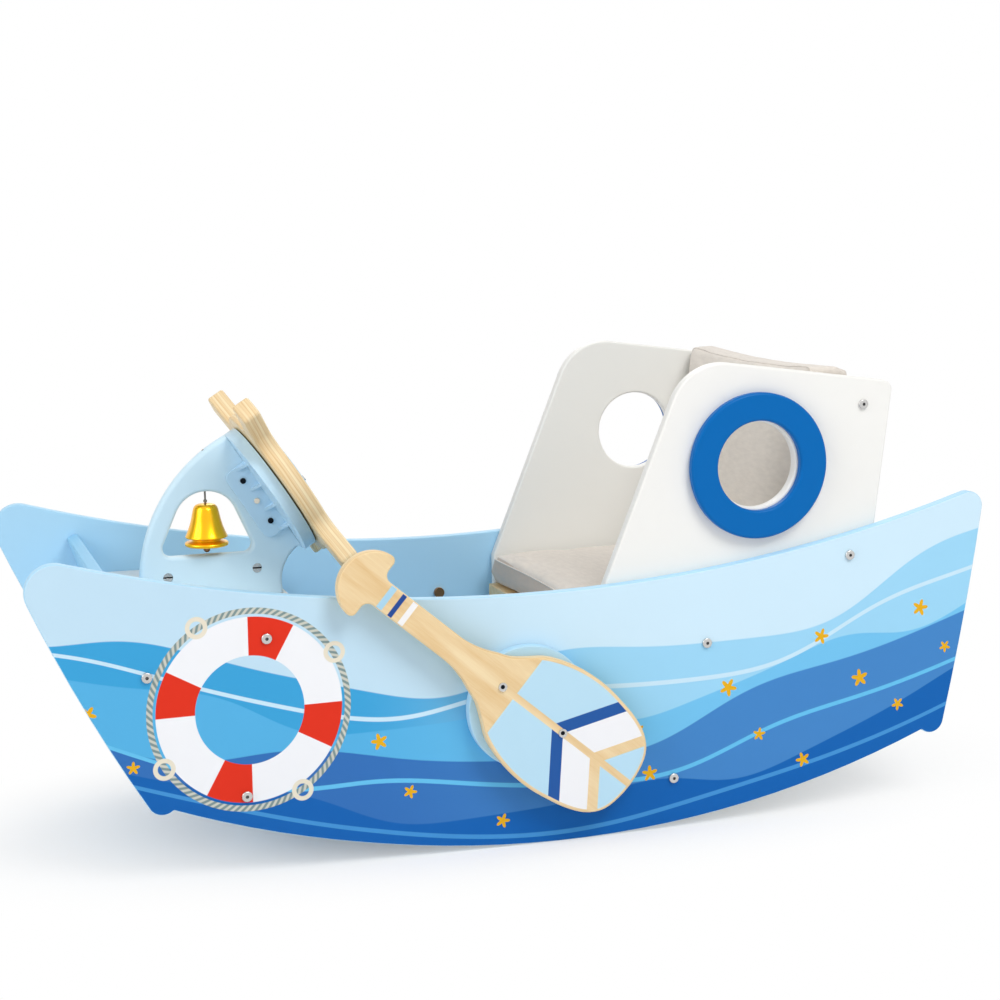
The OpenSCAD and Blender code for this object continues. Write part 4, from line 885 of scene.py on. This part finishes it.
# cushions: a slightly small skin inflated in a short cloth run
def puffCushion(node, name, spec):
    mesh = nodes[node].data.copy()
    mesh.name = name
    low, high = (Vector(corner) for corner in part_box(node))
    centre = (low + high) / 2
    size = high - low
    work = bmesh.new()
    work.from_mesh(mesh)
    bmesh.ops.remove_doubles(work, verts=work.verts, dist=meshSpec["merge"])
    shrink = Matrix.Diagonal([1 - 2 * spec["start"] / edge for edge in size]).to_4x4()
    bmesh.ops.transform(work, matrix=shrink, space=Matrix.Translation(-centre), verts=work.verts)
    work.to_mesh(mesh)
    work.free()
    mesh.materials.clear()
    mesh.materials.append(cushionCloth)
    mesh.materials.append(cushionFrontShade)
    piece = addObject(name, mesh)
    remesh = piece.modifiers.new("remesh", "REMESH")
    remesh.mode = "VOXEL"
    remesh.voxel_size = spec["voxel"]
    bpy.context.view_layer.objects.active = piece
    bpy.ops.object.modifier_apply(modifier="remesh")
    start = [vert.co.copy() for vert in piece.data.vertices]
    cloth = piece.modifiers.new("cloth", "CLOTH")
    cloth.settings.quality = clothSpec["quality"]
    cloth.settings.mass = clothSpec["mass"]
    cloth.settings.tension_stiffness = clothSpec["stiff"]
    cloth.settings.compression_stiffness = clothSpec["stiff"]
    cloth.settings.bending_stiffness = clothSpec["bend"]
    cloth.settings.use_pressure = True
    cloth.settings.uniform_pressure_force = spec["pressure"]
    cloth.settings.effector_weights.gravity = 0
    cloth.point_cache.frame_start = 1
    cloth.point_cache.frame_end = clothSpec["frames"]
    for frameNumber in range(1, clothSpec["frames"] + 1):
        scene.frame_set(frameNumber)
    along, out = Vector(spec["along"]), Vector(spec["out"])
    ends = [point.dot(along) for point in start]
    lowEnd, highEnd = min(ends), max(ends)
    sides = [point.y for point in start]
    lowSide, highSide = min(sides), max(sides)
    rests = min(point.dot(out) for point in start)
    puffed = piece.evaluated_get(bpy.context.evaluated_depsgraph_get()).to_mesh()
    target = [vert.co.copy() for vert in puffed.vertices]
    piece.modifiers.remove(cloth)
    scene.frame_set(1)
    for vert, was, now in zip(piece.data.vertices, start, target):
        # seams hold their line, the panel between them rises, the back stays flat
        end = was.dot(along)
        room = min(end - lowEnd, highEnd - end, was.y - lowSide, highSide - was.y)
        ease = smoothStep(room, 0.0, spec["ease"], 1.0)
        move = (now - was) * ease
        move -= out * min(move.dot(out), 0.0)
        if move.length > spec["cap"]:
            move *= spec["cap"] / move.length
        height = min((was.dot(out) - rests) / spec["edge"], 1.0)
        vert.co = was + move + out * (spec["rim"] * (1 - ease) * height * height)
    for polygon in piece.data.polygons:
        polygon.use_smooth = True
        polygon.material_index = int(polygon.normal.x < spec["band"])  # the front faces take the darker, warmer cloth: painted shade
    smoothing = piece.modifiers.new("smoothing", "SUBSURF")
    smoothing.levels = 1
    smoothing.render_levels = 1
    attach(piece, bodyOf[node])
    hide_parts(node)
    return piece


# a thin sewn edge round a cushion, where its front panel meets the sides
def sewnEdge(pad, node, name, spec):
    work = bmesh.new()
    work.from_mesh(pad.evaluated_get(bpy.context.evaluated_depsgraph_get()).to_mesh())
    out = Vector(spec["out"])
    rests = min(vert.co.dot(out) for vert in work.verts)
    everything = work.verts[:] + work.edges[:] + work.faces[:]
    cut = bmesh.ops.bisect_plane(work, geom=everything, dist=meshSpec["seam"],
                                 plane_co=out * (rests + spec["seam"]), plane_no=out)["geom_cut"]
    line = {item for item in cut if isinstance(item, bmesh.types.BMEdge)}
    corners = [item for item in cut if isinstance(item, bmesh.types.BMVert)]
    here = min(corners, key=lambda vert: tuple(vert.co))
    walk = []
    while here:
        walk.append(here.co.copy())
        links = sorted(here.link_edges, key=lambda edge: edge.index)
        step = next((edge for edge in links if edge in line), None)
        line.discard(step)
        here = step.other_vert(here) if step else None
    work.free()
    curve = bpy.data.curves.new(name, "CURVE")
    curve.dimensions = "3D"
    curve.bevel_depth = spec["thread"]
    curve.bevel_resolution = 2
    spline = curve.splines.new("POLY")
    spline.points.add(len(walk) - 2)
    for point, place in zip(spline.points, walk[:-1]):
        point.co = (*place, 1.0)
    spline.use_cyclic_u = True
    tube = addObject(name + "Path", curve)
    mesh = bpy.data.meshes.new_from_object(tube.evaluated_get(bpy.context.evaluated_depsgraph_get()))
    bpy.data.objects.remove(tube)
    mesh.name = name
    mesh.materials.clear()
    mesh.materials.append(cushionCloth)
    for polygon in mesh.polygons:
        polygon.use_smooth = True
    seam = addObject(name, mesh)
    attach(seam, bodyOf[node])


backLean = math.radians(7.3)
backUp = (math.sin(backLean), 0.0, math.cos(backLean))
backOut = (-math.cos(backLean), 0.0, math.sin(backLean))
coverSpec = dict(start=0.0005, voxel=0.004, pressure=4.0, cap=0.005, ease=0.035, thread=0.0009)
# band: the normal.x below which a face takes the darker front cloth as painted shade; -2.0 gives none
seatSpec = dict(coverSpec, rim=0.006, edge=0.031, seam=0.029, fill=0.8, band=-0.9,
                along=(1.0, 0.0, 0.0), out=(0.0, 0.0, 1.0))
backSpec = dict(coverSpec, rim=0.004, edge=0.050, seam=0.047, fill=0.75, band=-2.0,
                along=backUp, out=backOut)
for node, name, spec in (("seat_cushion", "seatPad", seatSpec), ("back_cushion", "backPad", backSpec)):
    sewnEdge(puffCushion(node, name, spec), node, name + "Seam", spec)
print("bell and cushions done")

# floor and background, plain white where the camera or a reflection sees them
floorSpec = dict(size=30.0, colour=(0.93, 0.93, 0.935, 1.0), squash=0.5, near=0.10, far=0.34, least=0.15)
worldSpec = dict(lighting=0.45, seen=1.0)
white = (1.0, 1.0, 1.0, 1.0)


def plainRays(tree):
    path = tree.nodes.new("ShaderNodeLightPath").outputs
    passed = calc(tree, "MAXIMUM", path["Is Glossy Ray"], path["Is Transmission Ray"])
    return calc(tree, "MAXIMUM", path["Is Camera Ray"], passed)


floorMesh = bpy.data.meshes.new("studioFloor")
work = bmesh.new()
bmesh.ops.create_grid(work, x_segments=1, y_segments=1, size=floorSpec["size"])
work.to_mesh(floorMesh)
work.free()
floor = addObject("studioFloor", floorMesh)
floorPaint = bpy.data.materials.new("floorPaint")
floorPaint.use_nodes = True
tree = floorPaint.node_tree
tree.nodes.clear()
output = tree.nodes.new("ShaderNodeOutputMaterial")
matte = tree.nodes.new("ShaderNodeBsdfDiffuse")
matte.inputs["Color"].default_value = floorSpec["colour"]
glow = tree.nodes.new("ShaderNodeEmission")
glow.inputs["Color"].default_value = white
glow.inputs["Strength"].default_value = 1.0
floorX, floorY, _ = parts(tree, tree.nodes.new("ShaderNodeTexCoord").outputs["Object"])
away = lengthOf(tree, calc(tree, "MULTIPLY", floorX, floorSpec["squash"]), floorY)
fade = span(tree, away, floorSpec["near"], floorSpec["far"], floorSpec["least"], 1.0, smooth=True)
blendShader = tree.nodes.new("ShaderNodeMixShader")
put(tree, blendShader.inputs[0], calc(tree, "MULTIPLY", fade, plainRays(tree)))
put(tree, blendShader.inputs[1], matte.outputs[0])
put(tree, blendShader.inputs[2], glow.outputs[0])
put(tree, output.inputs["Surface"], blendShader.outputs[0])
floorMesh.materials.append(floorPaint)

world = bpy.data.worlds.new("studio")
scene.world = world
world.use_nodes = True
tree = world.node_tree
back = tree.nodes["Background"]
back.inputs["Color"].default_value = white
strength = span(tree, plainRays(tree), 0.0, 1.0, worldSpec["lighting"], worldSpec["seen"])
put(tree, back.inputs["Strength"], strength)

# lamps: a broad key high in front, a fill on the left, a rim behind
lampSpecs = [
    dict(name="keyLamp", place=(0.8, -2.0, 2.7), aim=(0.0, 0.0, 0.2), size=1.6, power=50.0),
    dict(name="fillLamp", place=(-2.4, -0.9, 1.5), aim=(0.1, 0.0, 0.3), size=1.6, power=22.0),
    dict(name="backLamp", place=(0.6, 2.4, 2.2), aim=(0.0, 0.0, 0.3), size=1.5, power=18.0)]
for spec in lampSpecs:
    lamp = bpy.data.lights.new(spec["name"], "AREA")
    lamp.shape = "DISK"
    lamp.size = spec["size"]
    lamp.energy = spec["power"]
    lampObject = addObject(spec["name"], lamp)
    lampObject.location = spec["place"]
    aim = Vector(spec["aim"]) - Vector(spec["place"])
    lampObject.rotation_euler = aim.to_track_quat("-Z", "Y").to_euler()

# camera as fitted to the photograph
cameraSpec = dict(place=(-0.6320, -2.0704, 0.6507), right=(0.9528, -0.3032, -0.0150),
                  up=(0.0595, 0.1381, 0.9887), ahead=(0.2977, 0.9429, -0.1496), lens=73.53, sensor=36.0)
camera = bpy.data.cameras.new("camera")
camera.lens = cameraSpec["lens"]
camera.sensor_width = cameraSpec["sensor"]
cameraObject = addObject("camera", camera)
behind = [-share for share in cameraSpec["ahead"]]
turn = Matrix((cameraSpec["right"], cameraSpec["up"], behind)).transposed().to_4x4()
cameraObject.matrix_world = Matrix.Translation(cameraSpec["place"]) @ turn
scene.camera = cameraObject
scene.view_settings.view_transform = "Standard"

print("stage done")
